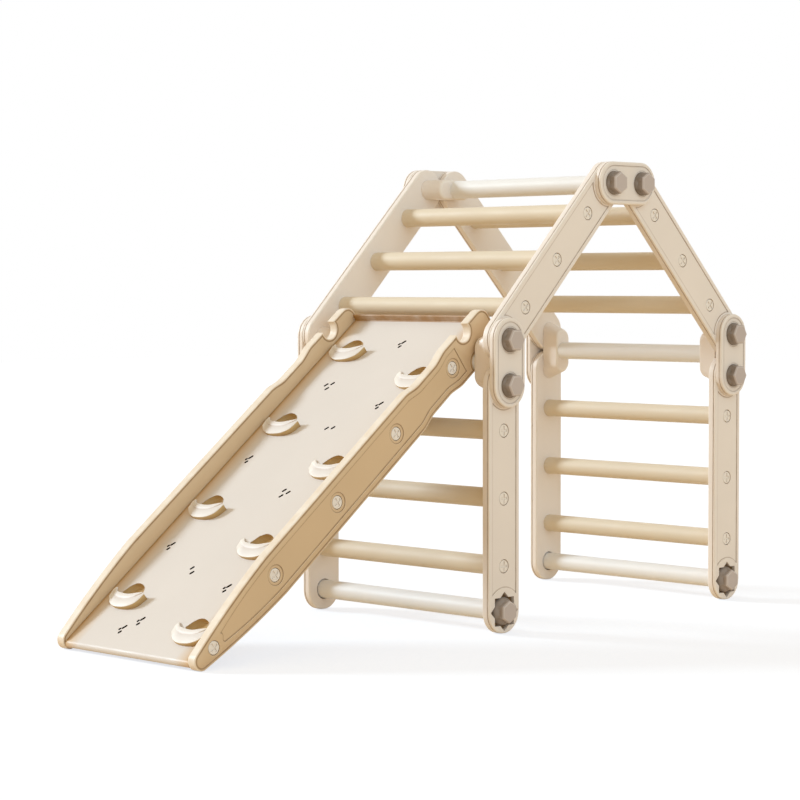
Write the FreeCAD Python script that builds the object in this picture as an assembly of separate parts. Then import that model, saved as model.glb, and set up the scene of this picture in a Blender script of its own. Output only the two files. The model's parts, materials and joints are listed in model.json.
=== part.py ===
"""Toddlers' climbing frame: four ladder panels bolted into an arch, with a climbing ramp hooked on one side.

Millimetres, +Z up, +X from the ramp towards the back of the arch, -Y the right-hand side.
The origin is on the floor, in the middle of the whole footprint.
"""
import FreeCAD, Part
import math
import os

Vector = FreeCAD.Vector

# Ladder panels
rung_pitch = 135.0        # from rung to rung along a rail
end_pitch = 90.0          # from the star hole at a rail's end to the nearest rung
clear_width = 500.0       # between the two rails of a panel
rail_width = 88.0         # the rail's ends are half rounds of this width
rail_thickness = 20.0
rail_edge = 2.5           # bevel round a rail's outer face
foot_flat = 0.4           # flat ground off the round foot of a leg
roof_lean = 45.0          # degrees from upright
rung_diameter = 39.0
panel_margin = 9.0        # rim left round the shallow panel in a rail's outer face
panel_depth = 1.5
panel_end_gap = 11.0      # from the tips of a star hole to the panel's round end

# Star holes, which set the angle between two panels in steps of an eighth of a turn
star_points = 8
star_outer = 36.8         # tip radius in the rail's outer face
star_inner = 27.0         # tip radius in the rail's inner face, so the hole tapers
star_gap = 0.3            # clearance of a star boss in its hole, measured at the tips

# Joints between two panels: cover plate outside, hub inside, two bolts through both
joint_spacing = 90.0      # between the end holes of two joined rails
plate_thickness = 16.0
plate_edge = 3.5          # bevel round a plate's face
boss_length = 10.0        # star boss on the back of a plate
hub_width = 43.0
hub_base_length = 132.0   # against the rail
hub_end_length = 96.0     # where the rod comes out
hub_depth = 44.0
hub_edge = 4.0            # bevel round the hub's end
hub_socket = 30.0         # depth of the rod's socket in a hub
rod_diameter = 39.0       # the pale cross rods at the feet, the joints and the ridge
rod_gap = 0.15            # radial clearance of a rod in its socket
head_across_flats = 40.0  # hexagonal bolt heads
head_height = 19.0
head_edge = 2.5           # bevel round a head's face
flange_recess = 3.0       # a foot bolt's star flange lies this far below the rail's face

# Ramp, drawn with s along its slope from the centre of its round tip, and n square to the slope
ramp_clearance = 4.0      # between a ramp side and the hub beside it
side_thickness = 20.0
side_half = 45.0          # half of a side's width along its straight middle
tip_radius = 18.0
taper_length = 230.0      # the sides narrow from here down to the tip
taper_bulge = 3.7         # how far the tapered edge swells from a straight line
taper_turn = 10.0         # degrees by which the tapered edge leaves the round tip
neck_to_hook = 206.0      # from the start of the neck to the notches
neck_ease = 45.0          # length of each flowing step into and out of the neck
neck_length = 55.0
neck_half = 37.5          # half of a side's width at the neck
hook_reach = 896.0        # from the tip to the notches that take the joint rod
hook_offset = 38.0        # of a notch's centre from the side's middle line
hook_gap = 0.4            # running clearance of the rod in its notch
head_reach = 79.0         # from the notches to the end of a side's head
head_corner = 24.0
side_panel_rim = 15.0     # rim left round the shallow panel in a side's outer face
side_panel_depth = 1.5
side_panel_start = 62.0
side_panel_low_half = 10.5  # half of the panel's width at its low end
side_panel_end_gap = 39.0  # from the panel's high end to the middle of the notches
board_thickness = 16.0
board_low_end = 17.0      # how far the board's nose runs past the tip's centre
board_setback = 5.0       # of the board's upper end from the end of the sides
board_edge = 3.0          # bevel along the board's upper end

# Climbing holds moulded into the board: a finger pocket under a crescent lip
pocket_depth = 10.0
lip_low = 5.0             # height of the lip at its left end
lip_high = 16.0           # height of the lip at its right end
lip_left = 56.0           # from a hold's centre to the lip's left end
lip_right = 57.0          # from a hold's centre to the lip's right end
lip_drop = 32.0           # how far the lip's round front reaches down the slope
lip_left_drop = 6.0       # the lip's left end runs from this far below a hold's centre
lip_left_rise = 17.0      # to this far above it
pocket_half = 30.0        # half of a pocket's width
pocket_top = 42.0         # how far a pocket reaches up the slope
pocket_left_rise = 12.5   # of the pocket's left tip above a hold's centre
pocket_right_rise = 25.0  # of the pocket's right tip above a hold's centre
grip_rise = 10.5          # of the middle of the gripping edge above a hold's centre

# Places of the holds: the low ones up from the tip, the high ones down from the notches,
# each with its distance from the inner face of the side that it is nearest to
low_left_holds = ((119.0, 63.0), (374.0, 62.0))
high_left_holds = ((270.0, 61.0), (34.0, 62.0))
low_right_holds = ((55.0, 55.0), (284.0, 78.0))
high_right_holds = ((384.0, 70.0), (112.0, 49.0))

rung_names = ("lower", "middle", "upper")
overshoot = 1.0           # cutting tools run this far past the faces that they open
tiny = 1e-6

# Places that follow from the sizes
panel_length = 2 * end_pitch + (len(rung_names) - 1) * rung_pitch
rung_places = [end_pitch + number * rung_pitch for number in range(len(rung_names))]
lean = math.radians(roof_lean)
inner_face = clear_width / 2
leg_x = panel_length * math.sin(lean) + joint_spacing / 2
foot_z = rail_width / 2 - foot_flat
joint_z = foot_z + panel_length + joint_spacing / 2
roof_foot_z = joint_z + joint_spacing / 2
ridge_z = roof_foot_z + panel_length * math.cos(lean)
plate_back = -rail_thickness
plate_face = plate_back - plate_thickness
boss_end = boss_length - rail_thickness
flange_face = flange_recess - rail_thickness
hook_radius = rod_diameter / 2 + hook_gap
side_outer = inner_face - hub_depth - ramp_clearance
side_inner = side_outer - side_thickness
neck_start = hook_reach - neck_to_hook
head_length = hook_reach + head_reach
side_panel_end = hook_reach - side_panel_end_gap
board_high_end = head_length - board_setback
left_holds = [(s, side_inner - inset) for s, inset in low_left_holds]
left_holds += [(hook_reach - back, side_inner - inset) for back, inset in high_left_holds]
right_holds = [(s, inset - side_inner) for s, inset in low_right_holds]
right_holds += [(hook_reach - back, inset - side_inner) for back, inset in high_right_holds]
rise = joint_z - tip_radius
slope = math.asin(rise / math.hypot(hook_reach, hook_offset)) + math.atan(hook_offset / hook_reach)
tip_to_rod = hook_reach * math.cos(slope) + hook_offset * math.sin(slope)
frame_x = (tip_to_rod + tip_radius - rail_width / 2) / 2
tip_x = frame_x - leg_x - tip_to_rod


def prism(wire, y_from, y_to):
    """Solid between two Y planes, with a closed outline drawn in the XZ plane."""
    face = Part.Face(wire)
    face.translate(Vector(0, y_from, 0))
    return face.extrude(Vector(0, y_to - y_from, 0))


def arc(start, middle, end):
    return Part.Arc(start, middle, end).toShape()


def obround(z_low, z_high, radius, y=0.0):
    """Upright round-ended outline, with its end arcs centred at two heights."""
    low_right = Vector(radius, y, z_low)
    high_right = Vector(radius, y, z_high)
    high_left = Vector(-radius, y, z_high)
    low_left = Vector(-radius, y, z_low)
    return Part.Wire([
        Part.makeLine(low_right, high_right),
        arc(high_right, Vector(0, y, z_high + radius), high_left),
        Part.makeLine(high_left, low_left),
        arc(low_left, Vector(0, y, z_low - radius), low_right),
    ])


def edges_at(shape, y):
    """Edges of a shape that lie wholly in one Y plane."""
    found = []
    for edge in shape.Edges:
        box = edge.BoundBox
        if abs(box.YMin - y) < tiny and abs(box.YMax - y) < tiny:
            found.append(edge)
    return found


def round_pin(diameter, y_from, y_to, z=0.0):
    """Cylinder along Y."""
    return Part.makeCylinder(diameter / 2, y_to - y_from, Vector(0, y_from, z), Vector(0, 1, 0))


def star(tip, z, y):
    """Star outline made by laying two regular polygons over each other, one turned by half a step."""
    valley = tip * math.cos(2 * math.pi / star_points) / math.cos(math.pi / star_points)
    points = []
    for corner in range(2 * star_points):
        radius = valley if corner % 2 else tip
        turn = math.pi * corner / star_points
        points.append(Vector(radius * math.sin(turn), y, z + radius * math.cos(turn)))
    return Part.makePolygon(points + points[:1])


def star_taper(z, y_from, y_to, gap):
    """Stretch of the tapered star hole through a rail, drawn in by a gap for a boss that fits it."""
    def tip(y):
        return star_inner - (star_outer - star_inner) * y / rail_thickness - gap
    return Part.makeLoft([star(tip(y_from), z, y_from), star(tip(y_to), z, y_to)], True, True)


def rail_panel():
    """Shallow panel in a rail's outer face, ending in hollow arcs round the star holes."""
    half = rail_width / 2 - panel_margin
    reach = star_outer + panel_end_gap
    step = math.sqrt(reach ** 2 - half ** 2)
    low_right = Vector(half, 0, step)
    low_left = Vector(-half, 0, step)
    high_right = Vector(half, 0, panel_length - step)
    high_left = Vector(-half, 0, panel_length - step)
    outline = Part.Wire([
        Part.makeLine(low_right, high_right),
        arc(high_right, Vector(0, 0, panel_length - reach), high_left),
        Part.makeLine(high_left, low_left),
        arc(low_left, Vector(0, 0, reach), low_right),
    ])
    return prism(outline, -rail_thickness - overshoot, panel_depth - rail_thickness)


def rail():
    """Upright right-hand rail: inner face at Y 0, lower star hole at the origin."""
    body = prism(obround(0, panel_length, rail_width / 2), -rail_thickness, 0)
    body = body.makeChamfer(rail_edge, edges_at(body, -rail_thickness))
    cuts = [rail_panel()]
    for z in (0, panel_length):
        cuts.append(star_taper(z, -rail_thickness - overshoot, overshoot, 0))
    return body.cut(cuts)


def footed(leg_rail):
    """Leg rail with the lowest sliver of its round foot cut flat at the floor."""
    floor = Part.makeBox(rail_width, rail_thickness + 2 * overshoot, rail_width)
    floor.translate(Vector(-rail_width / 2, -rail_thickness - overshoot, -foot_z - rail_width))
    return leg_rail.cut(floor)


def plate():
    """Cover plate over one joint: upright, centred on the joint, star bosses on its back."""
    half = joint_spacing / 2
    body = prism(obround(-half, half, rail_width / 2), plate_face, plate_back)
    body = body.makeChamfer(plate_edge, edges_at(body, plate_face))
    bosses = [star_taper(z, plate_back, boss_end, star_gap) for z in (-half, half)]
    return body.fuse(bosses)


def hub():
    """Tapered hub inside one joint: star spigots towards the rails, a socket for the cross rod."""
    radius = hub_width / 2
    base = hub_base_length / 2 - radius
    end = hub_end_length / 2 - radius
    bevel = hub_depth - hub_edge
    shoulder = base + (end - base) * bevel / hub_depth
    body = Part.makeLoft([
        obround(-base, base, radius, 0),
        obround(-shoulder, shoulder, radius, bevel),
        obround(-end, end, radius - hub_edge, hub_depth),
    ], True, True)
    places = (-joint_spacing / 2, joint_spacing / 2)
    spigots = [prism(star(star_inner - star_gap, z, 0), boss_end, 0) for z in places]
    socket = round_pin(rod_diameter + 2 * rod_gap, hub_depth - hub_socket, hub_depth + overshoot)
    return body.fuse(spigots).cut(socket)


def bolt_head(seat):
    """Hexagonal head, corner up, standing out from a seat in the Y plane given."""
    corner = head_across_flats / math.sqrt(3)
    points = []
    for number in range(7):
        turn = number * math.pi / 3
        points.append(Vector(corner * math.sin(turn), 0, corner * math.cos(turn)))
    top = seat - head_height
    head = prism(Part.makePolygon(points), top, seat)
    return head.makeChamfer(head_edge, edges_at(head, top))


def foot_bolt():
    """Bolt with a star flange that fills a leg's lower star hole and carries the end of the foot rod."""
    return bolt_head(flange_face).fuse(star_taper(0, flange_face, boss_end, star_gap))


def foot_rod():
    """Cross rod between the two foot bolts of a pair of legs."""
    half = inner_face - boss_end
    return round_pin(rod_diameter, -half, half)


def joint_rod():
    """Cross rod between the hubs of a joint."""
    half = inner_face - hub_depth + hub_socket
    return round_pin(rod_diameter, -half, half)


def rung():
    """Rung screwed end-on between the inner faces of two rails."""
    return round_pin(rung_diameter, -inner_face, inner_face)


def flow(start, end):
    """S-shaped curve between two points, level at both."""
    middle = (start.x + end.x) / 2
    curve = Part.BezierCurve()
    curve.setPoles([start, Vector(middle, 0, start.z), Vector(middle, 0, end.z), end])
    return curve.toShape()


def mirrored_outline(upper):
    """Closed outline from its upper half, mirrored about the middle line."""
    lower = [edge.mirror(Vector(0, 0, 0), Vector(0, 0, 1)) for edge in upper]
    return Part.Wire(Part.sortEdges(upper + lower)[0])


def necked_edge(start_s, end_s, inset):
    """Upper edge of a ramp side from the end of its taper past the neck, drawn in by an inset."""
    wide = side_half - inset
    narrow = neck_half - inset
    first = neck_start + neck_ease
    second = first + neck_length
    third = second + neck_ease
    return [
        Part.makeLine(Vector(start_s, 0, wide), Vector(neck_start, 0, wide)),
        flow(Vector(neck_start, 0, wide), Vector(first, 0, narrow)),
        Part.makeLine(Vector(first, 0, narrow), Vector(second, 0, narrow)),
        flow(Vector(second, 0, narrow), Vector(third, 0, wide)),
        Part.makeLine(Vector(third, 0, wide), Vector(end_s, 0, wide)),
    ]


def tapered_edge(start, inset):
    """Swelling edge from the tip up to the start of a ramp side's straight middle."""
    end = Vector(taper_length, 0, side_half - inset)
    chord = end - start
    out = Vector(-chord.z, 0, chord.x)
    out.normalize()
    return arc(start, (start + end) / 2 + out * taper_bulge, end)


def ramp_side():
    """Right-hand side of the ramp, with its middle line along X and a notch above and below for the rod."""
    throat = math.sqrt(hook_radius ** 2 - (side_half - hook_offset) ** 2)
    leaving = math.radians(taper_turn)
    halfway = (leaving + math.pi / 2) / 2
    tip_end = Vector(-tip_radius * math.sin(leaving), 0, tip_radius * math.cos(leaving))
    tip_middle = Vector(-tip_radius * math.sin(halfway), 0, tip_radius * math.cos(halfway))
    corner_mid = head_corner * (1 - math.sqrt(0.5))
    upper = [arc(Vector(-tip_radius, 0, 0), tip_middle, tip_end), tapered_edge(tip_end, 0)]
    upper += necked_edge(taper_length, hook_reach - throat, 0)
    upper += [
        arc(
            Vector(hook_reach - throat, 0, side_half),
            Vector(hook_reach, 0, hook_offset - hook_radius),
            Vector(hook_reach + throat, 0, side_half),
        ),
        Part.makeLine(
            Vector(hook_reach + throat, 0, side_half),
            Vector(head_length - head_corner, 0, side_half),
        ),
        arc(
            Vector(head_length - head_corner, 0, side_half),
            Vector(head_length - corner_mid, 0, side_half - corner_mid),
            Vector(head_length, 0, side_half - head_corner),
        ),
        Part.makeLine(Vector(head_length, 0, side_half - head_corner), Vector(head_length, 0, 0)),
    ]
    body = prism(mirrored_outline(upper), -side_outer, -side_inner)
    return body.cut(side_panel())


def side_panel():
    """Shallow panel in a ramp side's outer face, cut straight across at both ends."""
    start = Vector(side_panel_start, 0, side_panel_low_half)
    upper = [Part.makeLine(Vector(side_panel_start, 0, 0), start), tapered_edge(start, side_panel_rim)]
    upper += necked_edge(taper_length, side_panel_end, side_panel_rim)
    end = Vector(side_panel_end, 0, side_half - side_panel_rim)
    upper.append(Part.makeLine(end, Vector(side_panel_end, 0, 0)))
    return prism(mirrored_outline(upper), -side_outer - overshoot, side_panel_depth - side_outer)


def hold_shapes(s, y):
    """Crescent outline of one hold's lip and almond outline of its pocket, on the board's top plane."""
    top = board_thickness / 2

    def at(ds, dy):
        return Vector(s + ds, y + dy, top)
    pocket_left = at(pocket_left_rise, pocket_half)
    pocket_right = at(pocket_right_rise, -pocket_half)
    grip = arc(pocket_left, at(grip_rise, 0), pocket_right)
    pocket = Part.Wire([grip, arc(pocket_right, at(pocket_top, 0), pocket_left)])
    upper_left = at(lip_left_rise, lip_left)
    lower_left = at(-lip_left_drop, lip_left)
    lower_right = at(0, -lip_right)
    lip = Part.Wire([
        grip,
        Part.makeLine(pocket_right, lower_right),
        arc(lower_right, at(-lip_drop, 0), lower_left),
        Part.makeLine(lower_left, upper_left),
        Part.makeLine(upper_left, pocket_left),
    ])
    return lip, pocket


def lip_wedge(y):
    """Wedge that makes a lip rise from its left end to its right end, kept between the ramp's sides."""
    top = board_thickness / 2
    left = min(y + lip_left, side_inner)
    right = max(y - lip_right, -side_inner)
    outline = Part.makePolygon([
        Vector(0, left, top),
        Vector(0, left, top + lip_low),
        Vector(0, right, top + lip_high),
        Vector(0, right, top),
        Vector(0, left, top),
    ])
    wedge = Part.Face(outline).extrude(Vector(head_length + 2 * lip_drop, 0, 0))
    wedge.translate(Vector(-lip_drop, 0, 0))
    return wedge


def ramp_board():
    """Climbing board between the sides: round nose at the low end, eight holds on its upper face."""
    half = board_thickness / 2
    nose = half - board_low_end
    flat_end = board_high_end - board_edge
    outline = Part.Wire([
        arc(Vector(nose, 0, -half), Vector(-board_low_end, 0, 0), Vector(nose, 0, half)),
        Part.makeLine(Vector(nose, 0, half), Vector(flat_end, 0, half)),
        Part.makeLine(Vector(flat_end, 0, half), Vector(board_high_end, 0, half - board_edge)),
        Part.makeLine(Vector(board_high_end, 0, half - board_edge), Vector(board_high_end, 0, -half)),
        Part.makeLine(Vector(board_high_end, 0, -half), Vector(nose, 0, -half)),
    ])
    body = prism(outline, -side_inner, side_inner)
    lips = []
    pockets = []
    for s, y in left_holds + right_holds:
        lip, pocket = hold_shapes(s, y)
        solid_lip = Part.Face(lip).extrude(Vector(0, 0, lip_high))
        lips.append(solid_lip.common(lip_wedge(y)))
        pockets.append(Part.Face(pocket).extrude(Vector(0, 0, -pocket_depth)))
    return body.fuse(lips).cut(pockets)


def placed(shape, x, z, turn=0.0):
    """Copy of a right-hand piece turned about Y by some degrees and set on the right rail's inner face."""
    copy = shape.copy()
    copy.rotate(Vector(0, 0, 0), Vector(0, 1, 0), turn)
    copy.translate(Vector(x, -inner_face, z))
    return copy


def across(shape, x, z):
    """Copy of a piece that spans the width, set at a place in the XZ plane."""
    copy = shape.copy()
    copy.translate(Vector(x, 0, z))
    return copy


def left_of(shape):
    """Left-hand twin of a right-hand piece."""
    return shape.mirror(Vector(0, 0, 0), Vector(0, 1, 0))


def on_slope(shape):
    """Ramp piece turned up to its slope and set down with its round tip on the floor."""
    copy = shape.copy()
    copy.rotate(Vector(0, 0, 0), Vector(0, 1, 0), -math.degrees(slope))
    copy.translate(Vector(tip_x, 0, tip_radius))
    return copy


def save(shape, node):
    shape.exportStep("parts/" + node + ".step")


def save_pair(shape, node):
    save(shape, node + "_right")
    save(left_of(shape), node + "_left")


def save_both(shapes, node):
    """Right-hand pieces and their left-hand twins, kept as separate solids of one node."""
    save(Part.makeCompound(shapes + [left_of(shape) for shape in shapes]), node)


def save_panel(name, rail_shape, x, z, turn):
    """Two rails and the rungs of one ladder panel, from the place of its lower star hole."""
    save_pair(placed(rail_shape, x, z, turn), name + "_rail")
    along = math.radians(turn)
    for rung_name, place in zip(rung_names, rung_places):
        step_x = place * math.sin(along)
        step_z = place * math.cos(along)
        save(across(rung(), x + step_x, z + step_z), name + "_rung_" + rung_name)


def save_joint(name, x, z, turn):
    """Plates, hubs, bolts and cross rod of one joint."""
    save_both([placed(plate(), x, z, turn)], name + "_plates")
    save_both([placed(hub(), x, z, turn)], name + "_hubs")
    bolts = []
    for step in (-joint_spacing / 2, joint_spacing / 2):
        head = bolt_head(plate_face)
        head.translate(Vector(0, 0, step))
        bolts.append(placed(head, x, z, turn))
    save_both(bolts, name + "_bolts")
    save(across(joint_rod(), x, z), name + "_rod")


os.makedirs("parts", exist_ok=True)
front_x = frame_x - leg_x
rear_x = frame_x + leg_x
plain_rail = rail()
leg_rail = footed(plain_rail)
save_panel("front_leg", leg_rail, front_x, foot_z, 0)
save_panel("rear_leg", leg_rail, rear_x, foot_z, 0)
save_panel("front_roof", plain_rail, front_x, roof_foot_z, roof_lean)
save_panel("rear_roof", plain_rail, rear_x, roof_foot_z, -roof_lean)
save_joint("front_joint", front_x, joint_z, 0)
save_joint("rear_joint", rear_x, joint_z, 0)
save_joint("ridge", frame_x, ridge_z, 90)

foot_bolts = []
for place, x in (("front", front_x), ("rear", rear_x)):
    save(across(foot_rod(), x, foot_z), place + "_foot_rod")
    foot_bolts.append(placed(foot_bolt(), x, foot_z))
save_both(foot_bolts, "foot_bolts")

save_pair(on_slope(ramp_side()), "ramp_side")
save(on_slope(ramp_board()), "ramp_board")
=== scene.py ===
"""Toddlers' climbing frame: the finished look of each moulded piece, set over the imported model.

Metres, +Z up, +X from the ramp towards the back of the arch, -Y the right-hand side.
A piece is drawn on its own three axes, across, along and out, and is then set in its place in the frame.
"""
import json
import math

import bpy
import numpy as np
from bpy.props import FloatProperty, FloatVectorProperty, PointerProperty
from mathutils import Matrix, Vector
from mathutils.geometry import delaunay_2d_cdt


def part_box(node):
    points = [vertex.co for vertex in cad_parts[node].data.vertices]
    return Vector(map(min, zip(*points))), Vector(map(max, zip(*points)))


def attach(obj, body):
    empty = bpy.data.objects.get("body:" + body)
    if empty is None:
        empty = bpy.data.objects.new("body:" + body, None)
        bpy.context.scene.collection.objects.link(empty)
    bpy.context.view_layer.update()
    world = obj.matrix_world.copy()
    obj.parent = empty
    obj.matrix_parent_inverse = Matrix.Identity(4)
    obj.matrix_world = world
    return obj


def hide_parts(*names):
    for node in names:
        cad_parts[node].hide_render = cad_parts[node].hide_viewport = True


bl_info = {
    "name": "Climbing frame",
    "version": (1, 0, 0),
    "blender": (4, 5, 0),
    "location": "View3D > Sidebar > Climbing frame",
    "description": "Makes the moulded pieces of a toddlers' climbing frame with a ramp",
    "category": "Object",
}

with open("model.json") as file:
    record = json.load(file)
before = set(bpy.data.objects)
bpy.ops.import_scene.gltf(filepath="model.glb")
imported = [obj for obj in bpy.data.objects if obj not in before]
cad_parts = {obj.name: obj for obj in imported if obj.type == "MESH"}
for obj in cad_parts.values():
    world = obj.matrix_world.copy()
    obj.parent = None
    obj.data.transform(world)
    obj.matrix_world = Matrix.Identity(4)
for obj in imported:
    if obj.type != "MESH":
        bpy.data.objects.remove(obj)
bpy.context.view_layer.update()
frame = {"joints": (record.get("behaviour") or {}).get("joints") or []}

SIDES = {"right": -1.0, "left": 1.0}
PANELS = ("front_leg", "rear_leg", "front_roof", "rear_roof")
JOINTS = ("front_joint", "rear_joint", "ridge")
RUNGS = ("lower", "middle", "upper")
UP = np.array([0.0, 0.0, 1.0])
ALONG_X = np.array([1.0, 0.0, 0.0])
TO_LEFT = np.array([0.0, 1.0, 0.0])

# Points or strips along the curves
ARC_STEPS = 40            # on a half round
ROUND_STEPS = 48          # round a screw's seat or a dish
BAR_STEPS = 72            # round a rung or a rod
CAP_STEPS = 36            # round a screw's cap
RING_STEPS = 64           # round a ring recess
BOLT_STEPS = 72           # round a bolt's head
EDGE_STEPS = 6            # round a rounded edge
TIP_STEPS = 14            # round a ramp side's tip
TAPER_STEPS = 24          # along its taper
NECK_STEPS = 14           # along each flowing step of its neck
NOTCH_STEPS = 30          # round its notches
CORNER_STEPS = 12         # round its head's corners, and across its panel's low end
LIP_STEPS = 60            # along a hold's lip
POCKET_STEPS = (20, 34)   # along a pocket's low edge, and along its bow
SLOT_THINNING = 5         # a slot keeps one in so many points of its outline

# Fine sizes in metres
HAIR = 0.0003             # flat strip that keeps a face's shading flat beside a rounded edge
PAINTED_SHADE_RUN = 0.0020            # how far the painted shade of a crease runs out over the face below it
CROSS_SHADE_RUN = 0.0005      # the same for the painted shade in the cross of a screw's cap
SLOT_SHADE_RUN = 0.0003       # the same for the painted shade in the board's slots
GROOVE_WIDTH = 0.0040
PARTING_WIDTH = 0.0030
BAR_EDGE = 0.0006         # round on the ends of a rung or a rod
BACK_EDGE = 0.001         # round along the back of a plate or a hub
SEAT_SINK = 0.0005        # how far a bolt's head goes into what it sits on
FLANGE_GAP = 0.0004       # clearance of a foot bolt's flange in its star recess
WELD = 1e-7               # points nearer than this are one point
TOUCH = 1e-9              # points of a flat face nearer than this touch

# Rounds along the rim and the foot of a recess, in metres
PLATE_ROUNDS = (0.0008, 0.0010)
DISH_ROUNDS = (0.0005, 0.0002)
PANEL_ROUNDS = (0.0006, 0.0006)
RING_ROUNDS = (0.0005, 0.0004)
SEAT_ROUNDS = (0.0005, 0.0003)
FINE_ROUNDS = (0.0002, 0.0002)

# Edge value of a recess: on its rim scuffing and a painted highlight, at the top of its wall and where its
# floor starts painted shade
RIM_SCUFFING_AND_LIGHT, WALL_SHADE, RECESS_FLOOR_SHADE = 0.6, -0.4, -0.9
# How dark the painted shade is in the creases of a plate's face, of its dishes and of a screw's cross
PLATE_SHADE, DISH_SHADE, CROSS_SHADE = 0.45, 0.6, 0.4

SHARP_ANGLE = math.radians(38)    # faces that meet at more than this have a sharp edge between them
HEX_POWER = 60                    # the higher, the sharper the corners of a bolt's head
STAR_POINTS = 8
STAR_VALLEY = math.cos(math.pi / 4) / math.cos(math.pi / 8)   # of a star made of two squares, to its tips


def middle_of(node):
    """Middle of a node's box."""
    low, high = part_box(node)
    return np.array((low + high) / 2)


def reach_of(node):
    """Nearest and farthest distance of a node's two faces from the frame's middle plane."""
    low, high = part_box(node)
    return sorted((abs(low.y), abs(high.y)))


def width_of(node):
    """Width of a node's box along X."""
    low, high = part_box(node)
    return high.x - low.x


# Places and sizes taken from the frame
RAIL_INNER, RAIL_OUTER = reach_of("front_leg_rail_right")
RAIL_THICKNESS = RAIL_OUTER - RAIL_INNER
RAIL_WIDTH = width_of("front_leg_rail_right")
FOOT_HEIGHT = middle_of("front_foot_rod")[2]
RUNG_RADIUS = width_of("front_leg_rung_lower") / 2
ROD_RADIUS = width_of("front_joint_rod") / 2
END_PITCH = float(np.linalg.norm(middle_of("front_leg_rung_lower") - middle_of("front_foot_rod")))
RUNG_SPAN = float(np.linalg.norm(middle_of("front_leg_rung_upper") - middle_of("front_leg_rung_lower")))
PANEL_LENGTH = RUNG_SPAN + 2 * END_PITCH
JOINT_HALF = middle_of("front_joint_rod")[2] - FOOT_HEIGHT - PANEL_LENGTH
PLATE_FACE = max(reach_of("front_joint_plates")) - RAIL_INNER
BOLT_FACE = max(reach_of("front_joint_bolts")) - RAIL_INNER
FOOT_BOLT_FACE = max(reach_of("foot_bolts")) - RAIL_INNER
SIDE_INNER, SIDE_OUTER = reach_of("ramp_side_right")
SIDE_THICKNESS = SIDE_OUTER - SIDE_INNER
PIVOT = np.array(frame["joints"][0]["pos_m"])


def length(name, description, metres):
    """A size in metres that a user may change."""
    return FloatProperty(
        name=name, description=description, default=metres, min=0.0, unit="LENGTH", precision=4,
    )


def paint(name, description, red, green, blue):
    """A colour from 0 to 255 as on a paint card, kept as the linear light that the sRGB curve gives it."""
    card = np.array([red, green, blue]) / 255.0
    light = np.where(card <= 0.04045, card / 12.92, ((card + 0.055) / 1.055) ** 2.4)
    return FloatVectorProperty(
        name=name, description=description, default=tuple(light.tolist()),
        subtype="COLOR", size=3, min=0.0, max=1.0,
    )


class ClimbingFrameRails(bpy.types.PropertyGroup):
    """Sizes of the details on a rail"""
    edge: length("Edge", "Round along a rail's edges", 0.003)
    parting_depth: length("Parting line", "Depth of the parting line round a rail or a plate", 0.0009)
    panel_margin: length("Panel margin", "Rim left beside the shallow panel", 0.009)
    panel_depth: length("Panel depth", "Depth of the shallow panel", 0.0014)
    panel_end: length("Panel end", "Radius of the panel's round ends about the star holes", 0.0478)
    star_outer: length("Star, outside", "Tip radius of the star recess in the outer face", 0.0395)
    star_step: length("Star depth", "Depth of the star recess", 0.010)
    socket_gap: length("Socket gap", "Clearance of a foot rod in its socket", 0.0022)
    socket_depth: length("Socket depth", "Depth of a foot rod's socket", 0.009)
    seat_radius: length("Screw seat", "Radius of a rung screw's seat", 0.0140)
    seat_depth: length("Screw seat depth", "Depth of a rung screw's seat below the panel", 0.0042)
    lip: length("Lip", "Small round along the rim of a hole or a step", 0.0005)


class ClimbingFrameJoints(bpy.types.PropertyGroup):
    """Sizes of the plates, hubs, bolts and screws"""
    plate_edge: length("Plate edge", "Round along a plate's outer edge", 0.0038)
    plate_rim: length("Plate rim", "Width of the raised rim of a plate", 0.008)
    plate_step: length("Plate step", "How far a plate's face lies below its rim", 0.0012)
    halo_radius: length("Halo", "Radius of the shallow dish round a bolt", 0.0275)
    halo_depth: length("Halo depth", "Depth of the shallow dish round a bolt", 0.0008)
    boss_length: length("Boss", "Length of the star boss on the back of a plate", 0.010)
    hub_width: length("Hub width", "Width of a hub", 0.043)
    hub_base: length("Hub base", "Length of a hub against the rail", 0.132)
    hub_end: length("Hub end", "Length of a hub where the rod comes out", 0.096)
    hub_depth: length("Hub depth", "How far a hub stands in from the rail", 0.044)
    hub_edge: length("Hub edge", "Round along the end of a hub", 0.0055)
    base_radius: length("Bolt base", "Radius of the round base of a joint bolt's head", 0.0246)
    foot_base_radius: length("Foot bolt base", "Radius of the round base of a foot bolt's head", 0.0285)
    head_across: length("Head", "Width of a bolt's head across its flats", 0.0405)
    head_bevel: length("Head bevel", "Bevel round the face of a bolt's head", 0.0030)
    flange_recess: length("Flange recess", "How far a foot bolt's flange lies below the rail's face", 0.0075)
    cap_radius: length("Screw cap", "Radius of a screw's cap", 0.0126)
    cap_height: length("Screw cap height", "Height of a screw's cap above its seat", 0.0038)
    cap_edge: length("Screw cap edge", "Round along the edge of a screw's cap", 0.0011)
    cross_arm: length("Cross arm", "Length of each arm of the cross in a screw's cap", 0.0096)
    cross_half: length("Cross width", "Half the width of the cross in a screw's cap", 0.0021)
    cross_depth: length("Cross depth", "Depth of the cross in a screw's cap", 0.0018)


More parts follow.
